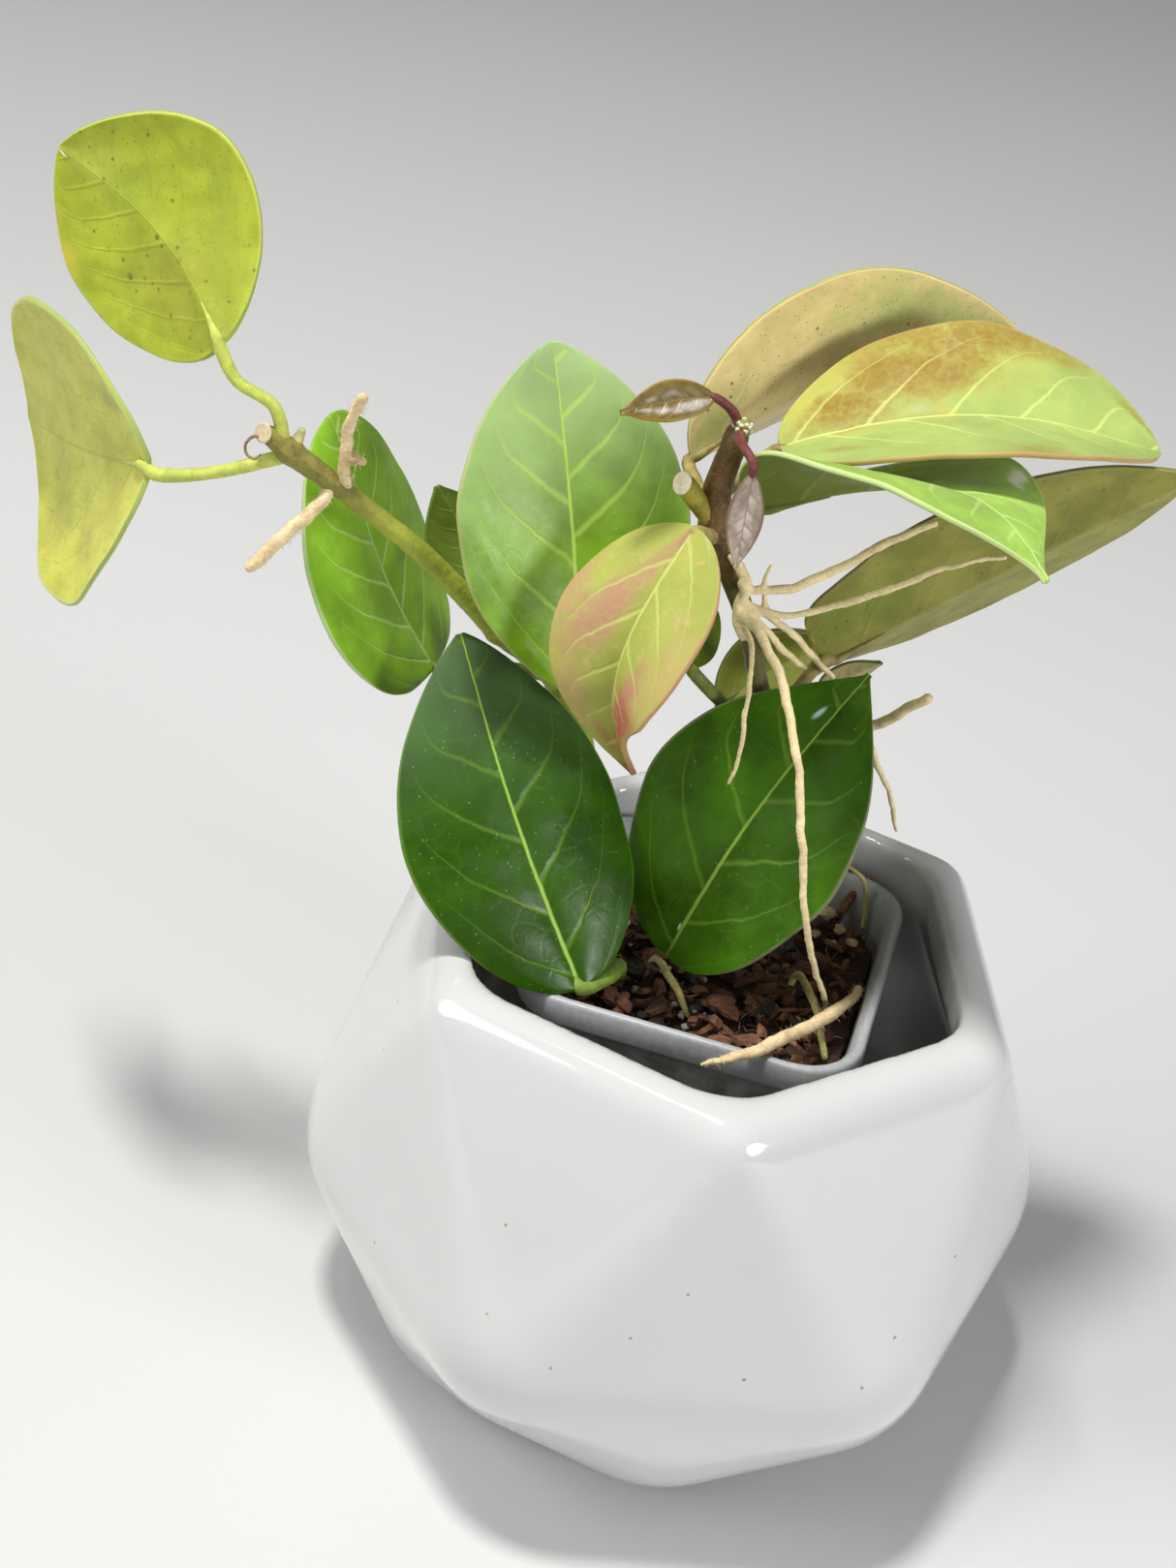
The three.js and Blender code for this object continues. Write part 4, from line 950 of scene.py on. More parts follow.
def make_main_stem(plant, colours):
    """Brown stem with its nodes, the cut stub at its side and the scaly bud at its top."""
    stem = ringed_stem(MAIN_STEM, MAIN_STEM_RINGS, "main_stem_bark", plant)
    knobbly(stem, 3.0, 0.35)
    knobbly(stem, 0.9, 0.14)
    dress(stem, stem_material("brown_stem", colours.main_stem, shaded(colours.main_stem, 0.45),
                              (0.34, 0.25, 0.12), lower=((0.13, 0.13, 0.04), 0.162)))
    cream = stem_material("healed_cut", (0.84, 0.80, 0.62), (0.66, 0.58, 0.38), (0.5, 0.4, 0.25),
                          700.0, 0.7)
    stub = tube("stub", CUT_STUB, 4)
    knobbly(stub, 1.8, 0.25)
    dress(stub, stem_material("olive_stub", (0.40, 0.35, 0.05), (0.22, 0.18, 0.03),
                              (0.5, 0.44, 0.12)))
    cut = cut_face("cut", (-18.3, 0.3, 173.9), (-0.62, -0.68, 0.4), 1.95, cream)
    green = stem_material("shoot_bud", (0.26, 0.30, 0.07), (0.16, 0.2, 0.04), (0.6, 0.55, 0.38),
                          500.0)
    bud = pebble("bud", SHOOT_BUD, BUD_RADIUS, 3, (1, 1, 1.15))
    knobbly(bud, 1.2, 0.5)
    dress(bud, green)
    flake = chip_shape("flake", (0.55, 0.4, 0.22), 4, sharp=0.7)
    dress(flake, cream)
    chance = random.Random(BUD_SEED)
    flakes = []
    for _ in range(BUD_SCALES):
        way = Vector((chance.uniform(-1, 1), chance.uniform(-1.2, 0.4), chance.uniform(-0.4, 1)))
        way.normalize()
        flakes.append((Matrix.Translation((Vector(SHOOT_BUD) + way * (BUD_RADIUS + 0.05)) * MM)
                       @ way.to_track_quat("Z", "Y").to_matrix().to_4x4(), 0.0))
    pieces = [stem, stub, cut, bud] + scatter(flake, flakes)
    bpy.data.objects.remove(flake)
    whole = join(pieces, "main_stem_living")
    stand_for(whole, "main_stem")


def make_vine(plant, colours):
    """Olive trailing stem with its nodes, cut end, dormant bud and dry tendril."""
    vine = ringed_stem(VINE, VINE_RINGS, "vine_skin", plant)
    knobbly(vine, 3.2, 0.3)
    knobbly(vine, 0.8, 0.12)
    dress(vine, stem_material("olive_vine", (0.26, 0.235, 0.055), (0.16, 0.14, 0.03),
                              (0.38, 0.34, 0.11), 400.0, 0.36, lower=(colours.vine, 0.166)))
    cream = stem_material("cut_end", (0.72, 0.62, 0.40), (0.52, 0.42, 0.24), (0.35, 0.26, 0.14),
                          700.0, 0.7)
    disc = cut_face("cut", (-82.9, -6.6, 172.1), (-0.42, -0.85, 0.3), 1.7, cream)
    bud = tube("bud", DORMANT_BUD, 4)
    knobbly(bud, 1.0, 0.4)
    dress(bud, stem_material("cream_bud", (0.60, 0.55, 0.30), (0.42, 0.40, 0.16), (0.75, 0.7, 0.5),
                             600.0))
    dry = root_material("dry_tendril", (0.42, 0.30, 0.17), (0.22, 0.14, 0.08), 500.0)
    tendril = tube("tendril", DRY_TENDRIL, 5, 2)
    dress(tendril, dry)
    whole = join([vine, disc, bud, tendril], "vine_living")
    stand_for(whole, "vine_stem")


# ---- leaves --------------------------------------------------------------------------------------
# Base and tip are the ends of the midrib, and faces is the way the glossy upper side looks. Fold is
# in degrees at base and tip, widest and rounding shape the outline, and the rest bends the blade.
LEAVES = {
    "leaf_vine_end_upper": dict(
        base=(-91, -4, 184), tip=(-124, 16, 203), faces=(0.4, 0.9, -0.3),
        width=38.5, arch=2.4, sway=2.6, fold=(27, 0), cup=0.14,
        widest=1.04, rounding=(0.56, 0.72), twist=-25, hook=0.5,
        stalk=[(-80, -5, 169.5, 1.2), (-82, -5, 176, 1.0), (-88, -5, 179, 1.0),
               (-91, -4, 183, 1.1)],
    ),
    "leaf_vine_end_lower": dict(
        base=(-102, -3, 161), tip=(-137, 36, 147), faces=(0.75, 0.66, 0),
        width=52, arch=-1.2, sway=-1.3, fold=(-4, 2), cup=0.25,
        widest=0.93, rounding=(0.58, 1.09), twist=-7, hook=0.5,
        stalk=[(-79, -5, 168.5, 1.2), (-91, -5, 163, 1.0), (-101, -3.5, 160, 1.2)],
    ),
    "leaf_vine_back": dict(
        base=(-57, 17, 123), tip=(-73, 13, 169), faces=(0.93, -0.22, 0.3),
        width=37.5, arch=-2.4, sway=2.8, fold=(7, 3), cup=0.16,
        widest=0.82, rounding=(0.36, 0.52), twist=-6, hook=5.6,
        stalk=[(-35, 10, 130, 1.2), (-46, 15, 127, 1.0), (-56, 17, 123, 1.1)],
    ),
    "leaf_vine_small_back": dict(
        base=(-46, 14, 139), tip=(-61, 23, 154), faces=(-0.3, 0.7, -0.7),
        width=16, arch=1, sway=1, fold=(15, 9), cup=0.11,
        widest=0.93, rounding=(0.6, 0.86), twist=0, hook=2,
        stalk=[(-45, 7, 138, 1.0), (-44, 11, 139, 0.9), (-46, 14, 139.5, 0.9)],
    ),
    "leaf_centre_tall": dict(
        base=(-29, -1, 135), tip=(-43, 15, 187), faces=(0.38, -0.85, 0.37),
        width=40, arch=1.7, sway=0, fold=(14, 12), cup=0.07,
        widest=1.0, rounding=(0.58, 0.71), twist=0, hook=1.3,
        stalk=[(-34, 10, 129, 1.3), (-31, 6, 129, 1.1), (-29, 1, 132, 1.1), (-29, -1, 135, 1.2)],
    ),
    "leaf_young_blushed": dict(
        base=(-15, -2, 168), tip=(-18, -4, 123), faces=(-0.5, -0.86, 0.07),
        width=27, arch=12, sway=0, fold=(7, 45), cup=0.12,
        widest=0.61, rounding=(0.95, 1.0), twist=0, hook=0, drawn_in=(1, 0.62, 0.42),
        stalk=[(-12.5, 5, 164, 1.6), (-13.2, 1.6, 165.2, 1.4), (-15, -2, 167.2, 1.1)],
    ),
    "leaf_behind_young": dict(
        base=(-12, 7, 138.5), tip=(-33, 32, 145), faces=(0.37, 0.1, 0.93),
        width=22.5, arch=2.5, sway=-1.3, fold=(15, 10), cup=0.1,
        widest=0.85, rounding=(0.6, 1.0), twist=0, hook=1,
        stalk=[(2.5, 12.5, 125, 1.2), (-5, 11, 130, 1.1), (-12, 7, 138, 1.1)],
    ),
    "leaf_front_left": dict(
        base=(-20, -20, 89.5), tip=(-50, 2, 139.5), faces=(0.43, -0.71, 0.55),
        width=39, arch=0.6, sway=1.7, fold=(10, -4), cup=0.2,
        widest=0.86, rounding=(0.55, 0.77), twist=-1, hook=1.7,
        stalk=[(-15, -2, 76, 1.6), (-15, -5, 84, 1.6), (-16, -14, 88.5, 1.5),
               (-20, -20, 89.5, 1.3)],
    ),
    "leaf_front_right": dict(
        base=(-7, -4, 88), tip=(17, 7, 144), faces=(-0.37, -0.87, 0.32),
        width=40, arch=3, sway=1.3, fold=(20, 5), cup=0.1,
        widest=0.88, rounding=(0.53, 1.0), twist=5, hook=-1.3,
        stalk=[(-8, 5, 76, 1.4), (-8, 3, 84, 1.4), (-7, -3, 88.5, 1.3)],
    ),
    "leaf_top_back": dict(
        base=(-19, 17, 171), tip=(29, 47, 192), faces=(-0.6, 0.69, 0.4),
        width=38.5, arch=3, sway=-1.6, fold=(27, 14), cup=0.01,
        widest=0.94, rounding=(0.5, 0.88), twist=3, hook=0.2,
        stalk=[(-12.5, 5, 165, 1.2), (-14.8, 8, 168, 1.1), (-17.2, 12, 169.5, 1.1),
               (-19, 17, 170.5, 1.1)],
    ),
    "leaf_top_blushed": dict(
        base=(-5, 11, 178), tip=(54, 24, 182), faces=(-0.02, -0.21, 0.98),
        width=38, arch=7.7, sway=-0.8, fold=(15, 24), cup=0.03,
        widest=0.89, rounding=(0.5, 0.6), twist=4.5, hook=-1.7,
        stalk=[(-13, 5, 170, 1.1), (-10, 9, 172.5, 1.0), (-5.5, 11, 177.5, 1.0)],
    ),
    "leaf_right_twisted": dict(
        base=(-6.3, 6.2, 169.6), tip=(35.3, -31, 183.7), faces=(-0.05, 0.3, 0.95),
        width=43, arch=7.8, sway=10.3, fold=(28, -10), cup=0.06,
        widest=0.64, rounding=(0.84, 1.4), twist=-3.6, hook=-0.2,
        stalk=[(-13, 5, 168, 1.1), (-10, 6, 167.3, 1.0), (-6.3, 6.2, 169.3, 1.1)],
    ),
    "leaf_right_back": dict(
        base=(9, 17, 139), tip=(62, 28, 179), faces=(-0.49, 0.75, 0.45),
        width=40.5, arch=0.8, sway=0.4, fold=(18, 15), cup=0.04,
        widest=0.86, rounding=(0.25, 0.85), twist=-6, hook=-0.9,
        stalk=[(1, 11.5, 130, 1.2), (5, 13, 134, 1.1), (9, 16, 140, 1.2)],
    ),
    "leaf_low_back_small": dict(
        base=(9.7, 21, 129), tip=(17.9, 22, 139.6), faces=(-0.59, 0.75, 0.3),
        width=9.5, arch=0.6, sway=0.3, fold=(14, 10), cup=0.11,
        widest=0.89, rounding=(0.6, 1.0), twist=0, hook=1.7,
        stalk=[(3.5, 13.5, 120, 1.0), (6.8, 18, 122.5, 0.9), (9.7, 21, 128.6, 0.9)],
    ),
    "leaf_low_back": dict(
        base=(-7, 33, 117.8), tip=(14.3, 33, 136), faces=(-0.25, 0.9, 0.35),
        width=18, arch=2.4, sway=-0.6, fold=(15, 10), cup=0.1,
        widest=0.86, rounding=(0.58, 1.0), twist=0, hook=1,
        stalk=[(5, 14, 112, 1.1), (-1, 24, 112.5, 1.0), (-7, 33, 117.3, 1.0)],
    ),
    "leaflet_shoot_left": dict(
        base=(-16, 2, 188), tip=(-29, -6, 186), faces=(0.4, -0.71, 0.58),
        width=6.6, arch=0, sway=-0.5, fold=(14, 10), cup=0.1,
        widest=0.86, rounding=(0.6, 1.0), twist=0, hook=0,
        stalk=[(-11.3, 4, 183, 0.8), (-13, 3, 186, 0.8), (-16, 2, 188, 0.7)],
    ),
    "leaflet_shoot_hanging": dict(
        base=(-7.8, -9.5, 181.8), tip=(-7.7, -10, 166.6), faces=(0.16, -0.98, 0.09),
        width=5.8, arch=0, sway=0, fold=(16, 10), cup=0.1,
        widest=0.9, rounding=(0.6, 1.0), twist=0, hook=0,
        stalk=[(-11, 4, 182.3, 0.8), (-11, -2, 184, 0.8), (-9.7, -7, 184.6, 0.7),
               (-8, -9.3, 183.5, 0.7), (-7.8, -9.5, 182, 0.7)],
    ),
}
SMALL_WIDTH = 12                     # leaves narrower than this have thin blades with fewer faces
SMALL_THIN = 0.75
# The stalk runs out under the blade as a keel: how far along, and its share of the stalk's radius.
KEEL = ((0.03, 0.8), (0.065, 0.55), (0.11, 0.33), (0.17, 0.13))


def leaf_station(leaf, t):
    """Midrib point and cross directions of the blade at t, in mm."""
    base, tip = Vector(leaf["base"]), Vector(leaf["tip"])
    along = (tip - base).normalized()
    faces = Vector(leaf["faces"])
    up = (faces - along * faces.dot(along)).normalized()
    side = up.cross(along)
    swell = math.sin(math.pi * t)
    middle = base + (tip - base) * t + up * (leaf["arch"] * swell - leaf["hook"] * t**4)
    middle += side * leaf["sway"] * swell
    base_round, tip_round = leaf["rounding"]
    roundness = base_round + (tip_round - base_round) * t
    outline = max(math.sin(math.pi * t ** leaf["widest"]), 0.0) ** roundness
    half = max(leaf["width"] / 2 * outline, 0.5)
    turn = math.radians(leaf["twist"]) * (t - 0.5)
    fold = math.radians(leaf["fold"][0] + (leaf["fold"][1] - leaf["fold"][0]) * t)
    across = side * math.cos(turn) + up * math.sin(turn)
    normal = up * math.cos(turn) - side * math.sin(turn)
    return middle, across, normal, half, fold


def leaf_point(leaf, t, u):
    """Point of the blade at t along the midrib and u across it, in mm."""
    middle, across, normal, half, fold = leaf_station(leaf, t)
    return (middle + across * u * half * math.cos(fold)
            + normal * (abs(u) * half * math.sin(fold) - leaf["cup"] * half * u * u))


def row_place(spot):
    """How far along the midrib a flat grid point goes, with rows closer near both ends."""
    s = spot.y * 0.5 + 0.5
    return s * 0.4 + (0.5 - 0.5 * math.cos(math.pi * s)) * 0.6


def column_place(spot):
    """How far across the blade a flat grid point goes, with columns closer near the margins."""
    u = -spot.x
    return u * (1.25 - 0.25 * u * u)


def make_blade(name, leaf, plant):
    """Thin blade with a groove along the midrib, waved margins and a gently quilted face."""
    span = (Vector(leaf["tip"]) - Vector(leaf["base"])).length
    rows = max(22, int(span * MM / plant.leaf_grain))
    columns = 12 if leaf["width"] < SMALL_WIDTH else 28
    begin()
    bpy.ops.mesh.primitive_grid_add(x_subdivisions=columns, y_subdivisions=rows, size=2)
    blade = bpy.context.object
    blade.name = name
    mesh = blade.data
    flat = [vertex.co.copy() for vertex in mesh.vertices]
    while mesh.uv_layers:
        mesh.uv_layers.remove(mesh.uv_layers[0])
    margin_map = mesh.uv_layers.new(name="Margin")
    blade_map = mesh.uv_layers.new(name="Blade")
    offset = Vector((len(name) * 7.3, span, leaf["width"]))
    for vertex, spot in zip(mesh.vertices, flat):
        t, u = row_place(spot), column_place(spot)
        _, _, normal, half, _ = leaf_station(leaf, t)
        waver = noise.noise(Vector((t * 5.5, math.copysign(3.5, u), 1)) + offset)
        u *= 1 + 0.035 * waver * abs(u) ** 3
        side, start, amount = leaf.get("drawn_in", (1, 1.0, 0.0))
        if u * side > 0 and t > start:
            u *= 1 - amount * math.sin(math.pi * min((t - start) / (1.0 - start), 0.75))
        place = leaf_point(leaf, t, u)
        ripple = noise.noise(Vector((t * 3.2, math.copysign(1.5, u), 0)) + offset)
        place += normal * half * 0.11 * ripple * abs(u) ** 2.5
        place += normal * 0.16 * noise.noise(place * 0.22 + offset)
        groove = math.exp(-((u * half / 0.75) ** 2)) * min(1.0, half / 4)
        place -= normal * 0.28 * groove * (1 - 0.6 * t)
        vertex.co = place * MM
    for loop in mesh.loops:
        spot = flat[loop.vertex_index]
        t, u = row_place(spot), column_place(spot)
        half = leaf_station(leaf, t)[3]
        margin_map.data[loop.index].uv = (0.5 + 0.5 * u, t)
        blade_map.data[loop.index].uv = (0.5 + u * half / span, t)
    return blade


def make_leaf(node, plant, upper, under, stalk_skin):
    """A blade with two sides and a thickness, and the stalk that it stands on."""
    leaf = LEAVES[node]
    thickness = plant.blade_thickness * (SMALL_THIN if leaf["width"] < SMALL_WIDTH else 1.0)
    blade = make_blade(node + "_blade", leaf, plant)
    dress(blade, leaf_material(node + "_upper", upper, "upper"),
          leaf_material(node + "_under", under, "under"))
    modify(blade, "SOLIDIFY", thickness=thickness, offset=0.0, material_offset=1)
    modify(blade, "SUBSURF", levels=1, render_levels=1)
    depth = thickness / MM * 0.5
    keel = []
    thick = leaf["stalk"][-1][3]
    for t, size in KEEL:
        middle, _, normal, _, _ = leaf_station(leaf, t)
        radius = thick * size
        keel.append((*(middle - normal * (depth * 0.7 + radius * 0.2 + 0.15)), radius))
    stalk = tube(node + "_stalk", leaf["stalk"] + keel, 5)
    knobbly(stalk, 1.6, 0.16)
    dress(stalk, stalk_skin)
    whole = join([blade, stalk], node + "_living")
    stand_for(whole, node)


def veined(base, vein, shade=0.75, **more):
    """Look of one side of a leaf: base and vein colours, and anything that differs."""
    return {"base": base, "shade": shaded(base, shade), "vein": vein, **more}


# Specks are (how many to the metre, how rare, strength, colour).
SPECKS = (700.0, 1.03, 0.7, (0.10, 0.10, 0.03))
FINE_SPECKS = (1500.0, 0.92, 0.6, (0.18, 0.11, 0.04))
DUST = (1500.0, 1.12, 0.3, (0.52, 0.60, 0.42))
RUST, MAUVE, PINK = (0.30, 0.19, 0.035), (0.46, 0.23, 0.16), (0.46, 0.09, 0.09)
# Silver is a painted sheen, the glossy shine of the bronze leaflets painted in as pale patches.
FRESH, PALE, PAINTED_SILVER_SHEEN = (0.44, 0.58, 0.14), (0.88, 0.88, 0.80), (0.60, 0.54, 0.50)
DARK_DOT, DRY = (0.10, 0.11, 0.02), (0.42, 0.25, 0.12)
OLIVE, WHITE = (0.22, 0.30, 0.05), (1.0, 1.0, 0.96)


def leaf_looks():
    """Slot, stalk, upper side and underside of every leaf. A spot is (across, along, size,
    strength, colour), with the margins at -1 and 1 across and the tip at 1 along."""
    return {
        "leaf_vine_end_upper": (
            "leaf_lime_underside", "lime_stalk",
            veined((0.34, 0.44, 0.05), (0.44, 0.52, 0.10)),
            veined(
                (0.42, 0.48, 0.045), (0.36, 0.43, 0.05), shade=0.76, specks=(SPECKS, FINE_SPECKS),
                patch=190.0, vein_strength=(0.25, 0.15, 0.1), gloss=0.42, rim=(0.62, 0.68, 0.2),
                spots=(
                    (-0.03, 0.49, 0.018, 0.9, DARK_DOT), (0.0, 0.36, 0.017, 0.9, DARK_DOT),
                    (-0.05, 0.29, 0.012, 0.8, DARK_DOT), (-0.07, 0.24, 0.018, 0.9, DARK_DOT),
                    (-0.13, 0.17, 0.014, 0.9, DARK_DOT), (-0.5, 0.51, 0.018, 0.8, DARK_DOT),
                    (-0.57, 0.22, 0.012, 0.8, DARK_DOT), (0.27, 0.54, 0.012, 0.7, DARK_DOT),
                    (-0.06, 0.2, 0.012, 0.8, DARK_DOT), (-0.4, 0.45, 0.014, 0.7, DARK_DOT),
                    (-0.45, 0.57, 0.011, 0.7, DARK_DOT), (-0.03, 0.4, 0.05, 0.35, OLIVE),
                    (-0.08, 0.22, 0.07, 0.4, OLIVE), (-0.5, 0.5, 0.08, 0.3, OLIVE),
                    (0.0, 0.05, 0.42, 0.8, (0.27, 0.30, 0.03)),
                    (-0.3, 0.3, 0.25, 0.5, (0.34, 0.32, 0.05)),
                    (0.5, 0.25, 0.25, 0.45, (0.30, 0.34, 0.04)),
                    (0.2, 0.9, 0.2, 0.4, (0.62, 0.66, 0.12)), (0.1, 0.7, 0.16, 0.3, OLIVE),
                    (0.65, 0.45, 0.14, 0.25, OLIVE), (-0.1, 0.98, 0.03, 1.0, PALE),
                    (-0.98, 0.86, 0.04, 0.9, DRY), (-0.95, 0.75, 0.07, 0.6, (0.56, 0.40, 0.08)),
                ),
            ),
        ),
        "leaf_vine_end_lower": (
            "leaf_lime_underside", "lime_stalk",
            veined((0.30, 0.40, 0.08), (0.42, 0.50, 0.14)),
            veined(
                (0.57, 0.57, 0.11), (0.32, 0.40, 0.07), shade=0.78, specks=(FINE_SPECKS,),
                patch=130.0, vein_strength=(0.5, 0.15, 0.1), rim=(0.60, 0.66, 0.28), gloss=0.42,
                streak=(0.26, 0.36, 0.06),
                spots=(
                    (0.6, 0.17, 0.10, 0.6, OLIVE), (-0.5, 0.6, 0.10, 0.35, (0.3, 0.3, 0.09)),
                    (-0.6, 0.4, 0.07, 0.3, (0.3, 0.3, 0.09)),
                ),
            ),
        ),
        "leaf_vine_back": (
            "leaf_green", "olive_stalk",
            veined(
                (0.29, 0.55, 0.03), (0.52, 0.70, 0.22), shade=0.62, vein_strength=(0.95, 0.6, 0.08),
                rim=(0.55, 0.62, 0.40), rim_from=0.97, specks=(DUST,), sheen=0.2,
            ),
            veined((0.20, 0.32, 0.05), (0.30, 0.40, 0.12)),
        ),
        "leaf_vine_small_back": (
            "leaf_green", "olive_stalk",
            veined((0.14, 0.24, 0.03), (0.24, 0.34, 0.08)),
            veined((0.15, 0.22, 0.025), (0.24, 0.30, 0.08), shade=0.5, specks=(SPECKS,)),
        ),
        "leaf_centre_tall": (
            "leaf_green", "olive_stalk",
            veined(
                (0.20, 0.39, 0.010), (0.48, 0.67, 0.12), shade=0.62,
                # The paler, greyer tip colour is a painted sheen over the upper part of the blade.
                vein_strength=(0.95, 0.55, 0.06), vein_width=0.011, tip=(0.44, 0.58, 0.28),
                tip_from=(0.35, 1.0, 0.75), patch=110.0, rim=(0.46, 0.40, 0.22), rim_strength=0.5,
                specks=(DUST,), sheen=0.18,
                spots=(
                    (0.0, 1.0, 0.03, 0.8, (0.5, 0.36, 0.26)),
                    (0.55, 0.5, 0.34, 0.3, (0.42, 0.56, 0.24)),
                ),
            ),
            veined((0.20, 0.31, 0.06), (0.30, 0.40, 0.12)),
        ),
        "leaf_young_blushed": (
            "leaf_blushed", "khaki_stalk",
            veined(
                (0.40, 0.43, 0.09), (0.58, 0.62, 0.18), shade=0.84, fleck=(0.60, 0.42, 0.20),
                flecks=0.5, vein_strength=(0.8, 0.6, 0.08), tip=(0.32, 0.05, 0.05),
                tip_from=(0.88, 0.97, 1.0), rim=(0.50, 0.22, 0.16), rim_strength=0.7,
                spots=(
                    (-0.45, 0.35, 0.15, 0.8, MAUVE), (-0.33, 0.24, 0.12, 0.7, MAUVE),
                    (-0.75, 0.44, 0.14, 0.6, MAUVE), (-0.2, 0.12, 0.10, 0.75, MAUVE),
                    (-0.07, 0.03, 0.08, 0.9, MAUVE), (-0.95, 0.28, 0.12, 0.6, MAUVE),
                    (0.35, 0.60, 0.17, 1.0, PINK), (0.45, 0.50, 0.14, 0.85, MAUVE),
                    (0.6, 0.72, 0.20, 1.0, PINK), (0.2, 0.84, 0.14, 0.9, PINK),
                    (-0.4, 0.80, 0.12, 0.5, PINK), (0.85, 0.42, 0.25, 0.45, (0.62, 0.34, 0.2)),
                    (-0.75, 0.62, 0.2, 0.45, (0.62, 0.34, 0.2)),
                ),
            ),
            veined((0.40, 0.36, 0.13), (0.5, 0.46, 0.2)),
        ),
        "leaf_behind_young": (
            "leaf_dark_green", "olive_stalk",
            veined((0.07, 0.11, 0.005), (0.14, 0.18, 0.03)),
            veined((0.05, 0.08, 0.01), (0.12, 0.16, 0.04)),
        ),
        "leaf_front_left": (
            "leaf_dark_green", "green_stalk",
            veined(
                (0.035, 0.11, 0.002), (0.15, 0.28, 0.03), shade=0.58, rib=(0.32, 0.50, 0.07),
                gloss=0.30, sheen=0.2, vein_strength=(0.95, 0.5, 0.07), spacing=0.19,
                # The greyer tip colour is a painted sheen over the upper half of the blade.
                specks=(DUST,), tip=(0.14, 0.21, 0.11), tip_from=(0.45, 1.0, 0.5),
            ),
            veined((0.09, 0.15, 0.02), (0.18, 0.26, 0.06)),
        ),
        "leaf_front_right": (
            "leaf_dark_green", "green_stalk",
            veined(
                (0.060, 0.175, 0.003), (0.20, 0.34, 0.03), shade=0.52, rib=(0.32, 0.50, 0.07),
                gloss=0.32, sheen=0.2, vein_strength=(0.95, 0.5, 0.07), spacing=0.21,
                specks=(DUST,), rim=(0.30, 0.27, 0.18), rim_strength=0.5,
                spots=((0.23, 0.84, 0.028, 1.0, (0.5, 0.66, 0.64)), (0.05, 0.1, 0.014, 1.0, PALE)),
            ),
            veined((0.08, 0.14, 0.02), (0.17, 0.25, 0.06)),
        ),
        "leaf_top_back": (
            "leaf_khaki_underside", "khaki_stalk",
            veined((0.30, 0.34, 0.08), (0.42, 0.44, 0.14)),
            veined(
                (0.96, 0.78, 0.38), (0.88, 0.80, 0.36), shade=0.82, specks=(FINE_SPECKS, SPECKS),
                gloss=0.5, glow=0.5, patch=150.0, vein_strength=(0.4, 0.15, 0.05),
                rim=(0.62, 0.40, 0.22), rim_strength=0.5, streak=(0.62, 0.64, 0.20),
                spots=(
                    (-0.6, 0.75, 0.22, 0.6, FRESH), (-0.4, 0.90, 0.16, 0.6, FRESH),
                    (-0.3, 0.05, 0.2, 0.5, FRESH), (-0.5, 0.55, 0.16, 0.35, FRESH),
                ),
            ),
        ),
        "leaf_top_blushed": (
            "leaf_blushed", "khaki_stalk",
            veined(
                (0.39, 0.50, 0.145), (0.66, 0.72, 0.23), shade=0.78, rim=(0.52, 0.28, 0.13),
                rim_strength=0.65, vein_strength=(0.9, 0.65, 0.1), vein_width=0.007, spacing=0.19,
                spots=(
                    (0.6, 0.12, 0.45, 0.8, (0.52, 0.46, 0.10)),
                    (0.8, 0.45, 0.35, 0.7, (0.52, 0.46, 0.10)), (0.3, 0.17, 0.2, 0.9, RUST),
                    (0.5, 0.28, 0.19, 0.9, RUST), (0.6, 0.44, 0.2, 0.9, RUST),
                    (0.9, 0.30, 0.16, 0.75, RUST), (0.9, 0.55, 0.16, 0.85, RUST),
                    (0.95, 0.72, 0.14, 0.7, RUST), (0.8, 0.93, 0.09, 0.7, RUST),
                    (-0.6, 0.14, 0.05, 0.5, RUST), (-0.9, 0.6, 0.10, 0.6, RUST),
                ),
            ),
            veined((0.36, 0.36, 0.12), (0.48, 0.47, 0.2)),
        ),
        "leaf_right_twisted": (
            "leaf_green", "olive_stalk",
            veined(
                (0.35, 0.56, 0.10), (0.58, 0.76, 0.28), shade=0.68, vein_strength=(0.9, 0.5, 0.08),
                rim=(0.62, 0.72, 0.34), rim_strength=0.7, glow=0.5,
                spots=(
                    # The first spot is painted light, a lighter green on the far half of the fold
                    # where the leaf above casts its shadow; the white spots are a scar.
                    (0.75, 0.42, 0.42, 0.55, (0.55, 0.86, 0.16)), (0.87, 0.50, 0.05, 1.0, WHITE),
                    (0.80, 0.51, 0.05, 1.0, WHITE), (0.73, 0.525, 0.045, 1.0, WHITE),
                ),
            ),
            veined((0.19, 0.25, 0.04), (0.28, 0.33, 0.09)),
        ),
        "leaf_right_back": (
            "leaf_khaki_underside", "khaki_stalk",
            veined((0.14, 0.17, 0.04), (0.24, 0.27, 0.09)),
            veined(
                (0.30, 0.29, 0.065), (0.36, 0.36, 0.11), shade=0.68, specks=(SPECKS, FINE_SPECKS),
                gloss=0.5, vein_strength=(0.3, 0.1, 0.05), rim=(0.5, 0.34, 0.2), rim_strength=0.4,
                patch=130.0, streak=(0.17, 0.19, 0.05),
                spots=(
                    (-0.1, 0.69, 0.08, 0.4, (0.14, 0.17, 0.04)),
                    (-0.5, 0.12, 0.2, 0.6, (0.16, 0.24, 0.04)),
                    (0.3, 0.4, 0.14, 0.35, (0.2, 0.2, 0.05)),
                ),
            ),
        ),
        "leaf_low_back_small": (
            "leaf_khaki_underside", "olive_stalk",
            veined((0.10, 0.14, 0.03), (0.2, 0.25, 0.08)),
            veined((0.50, 0.42, 0.19), (0.56, 0.50, 0.26)),
        ),
        "leaf_low_back": (
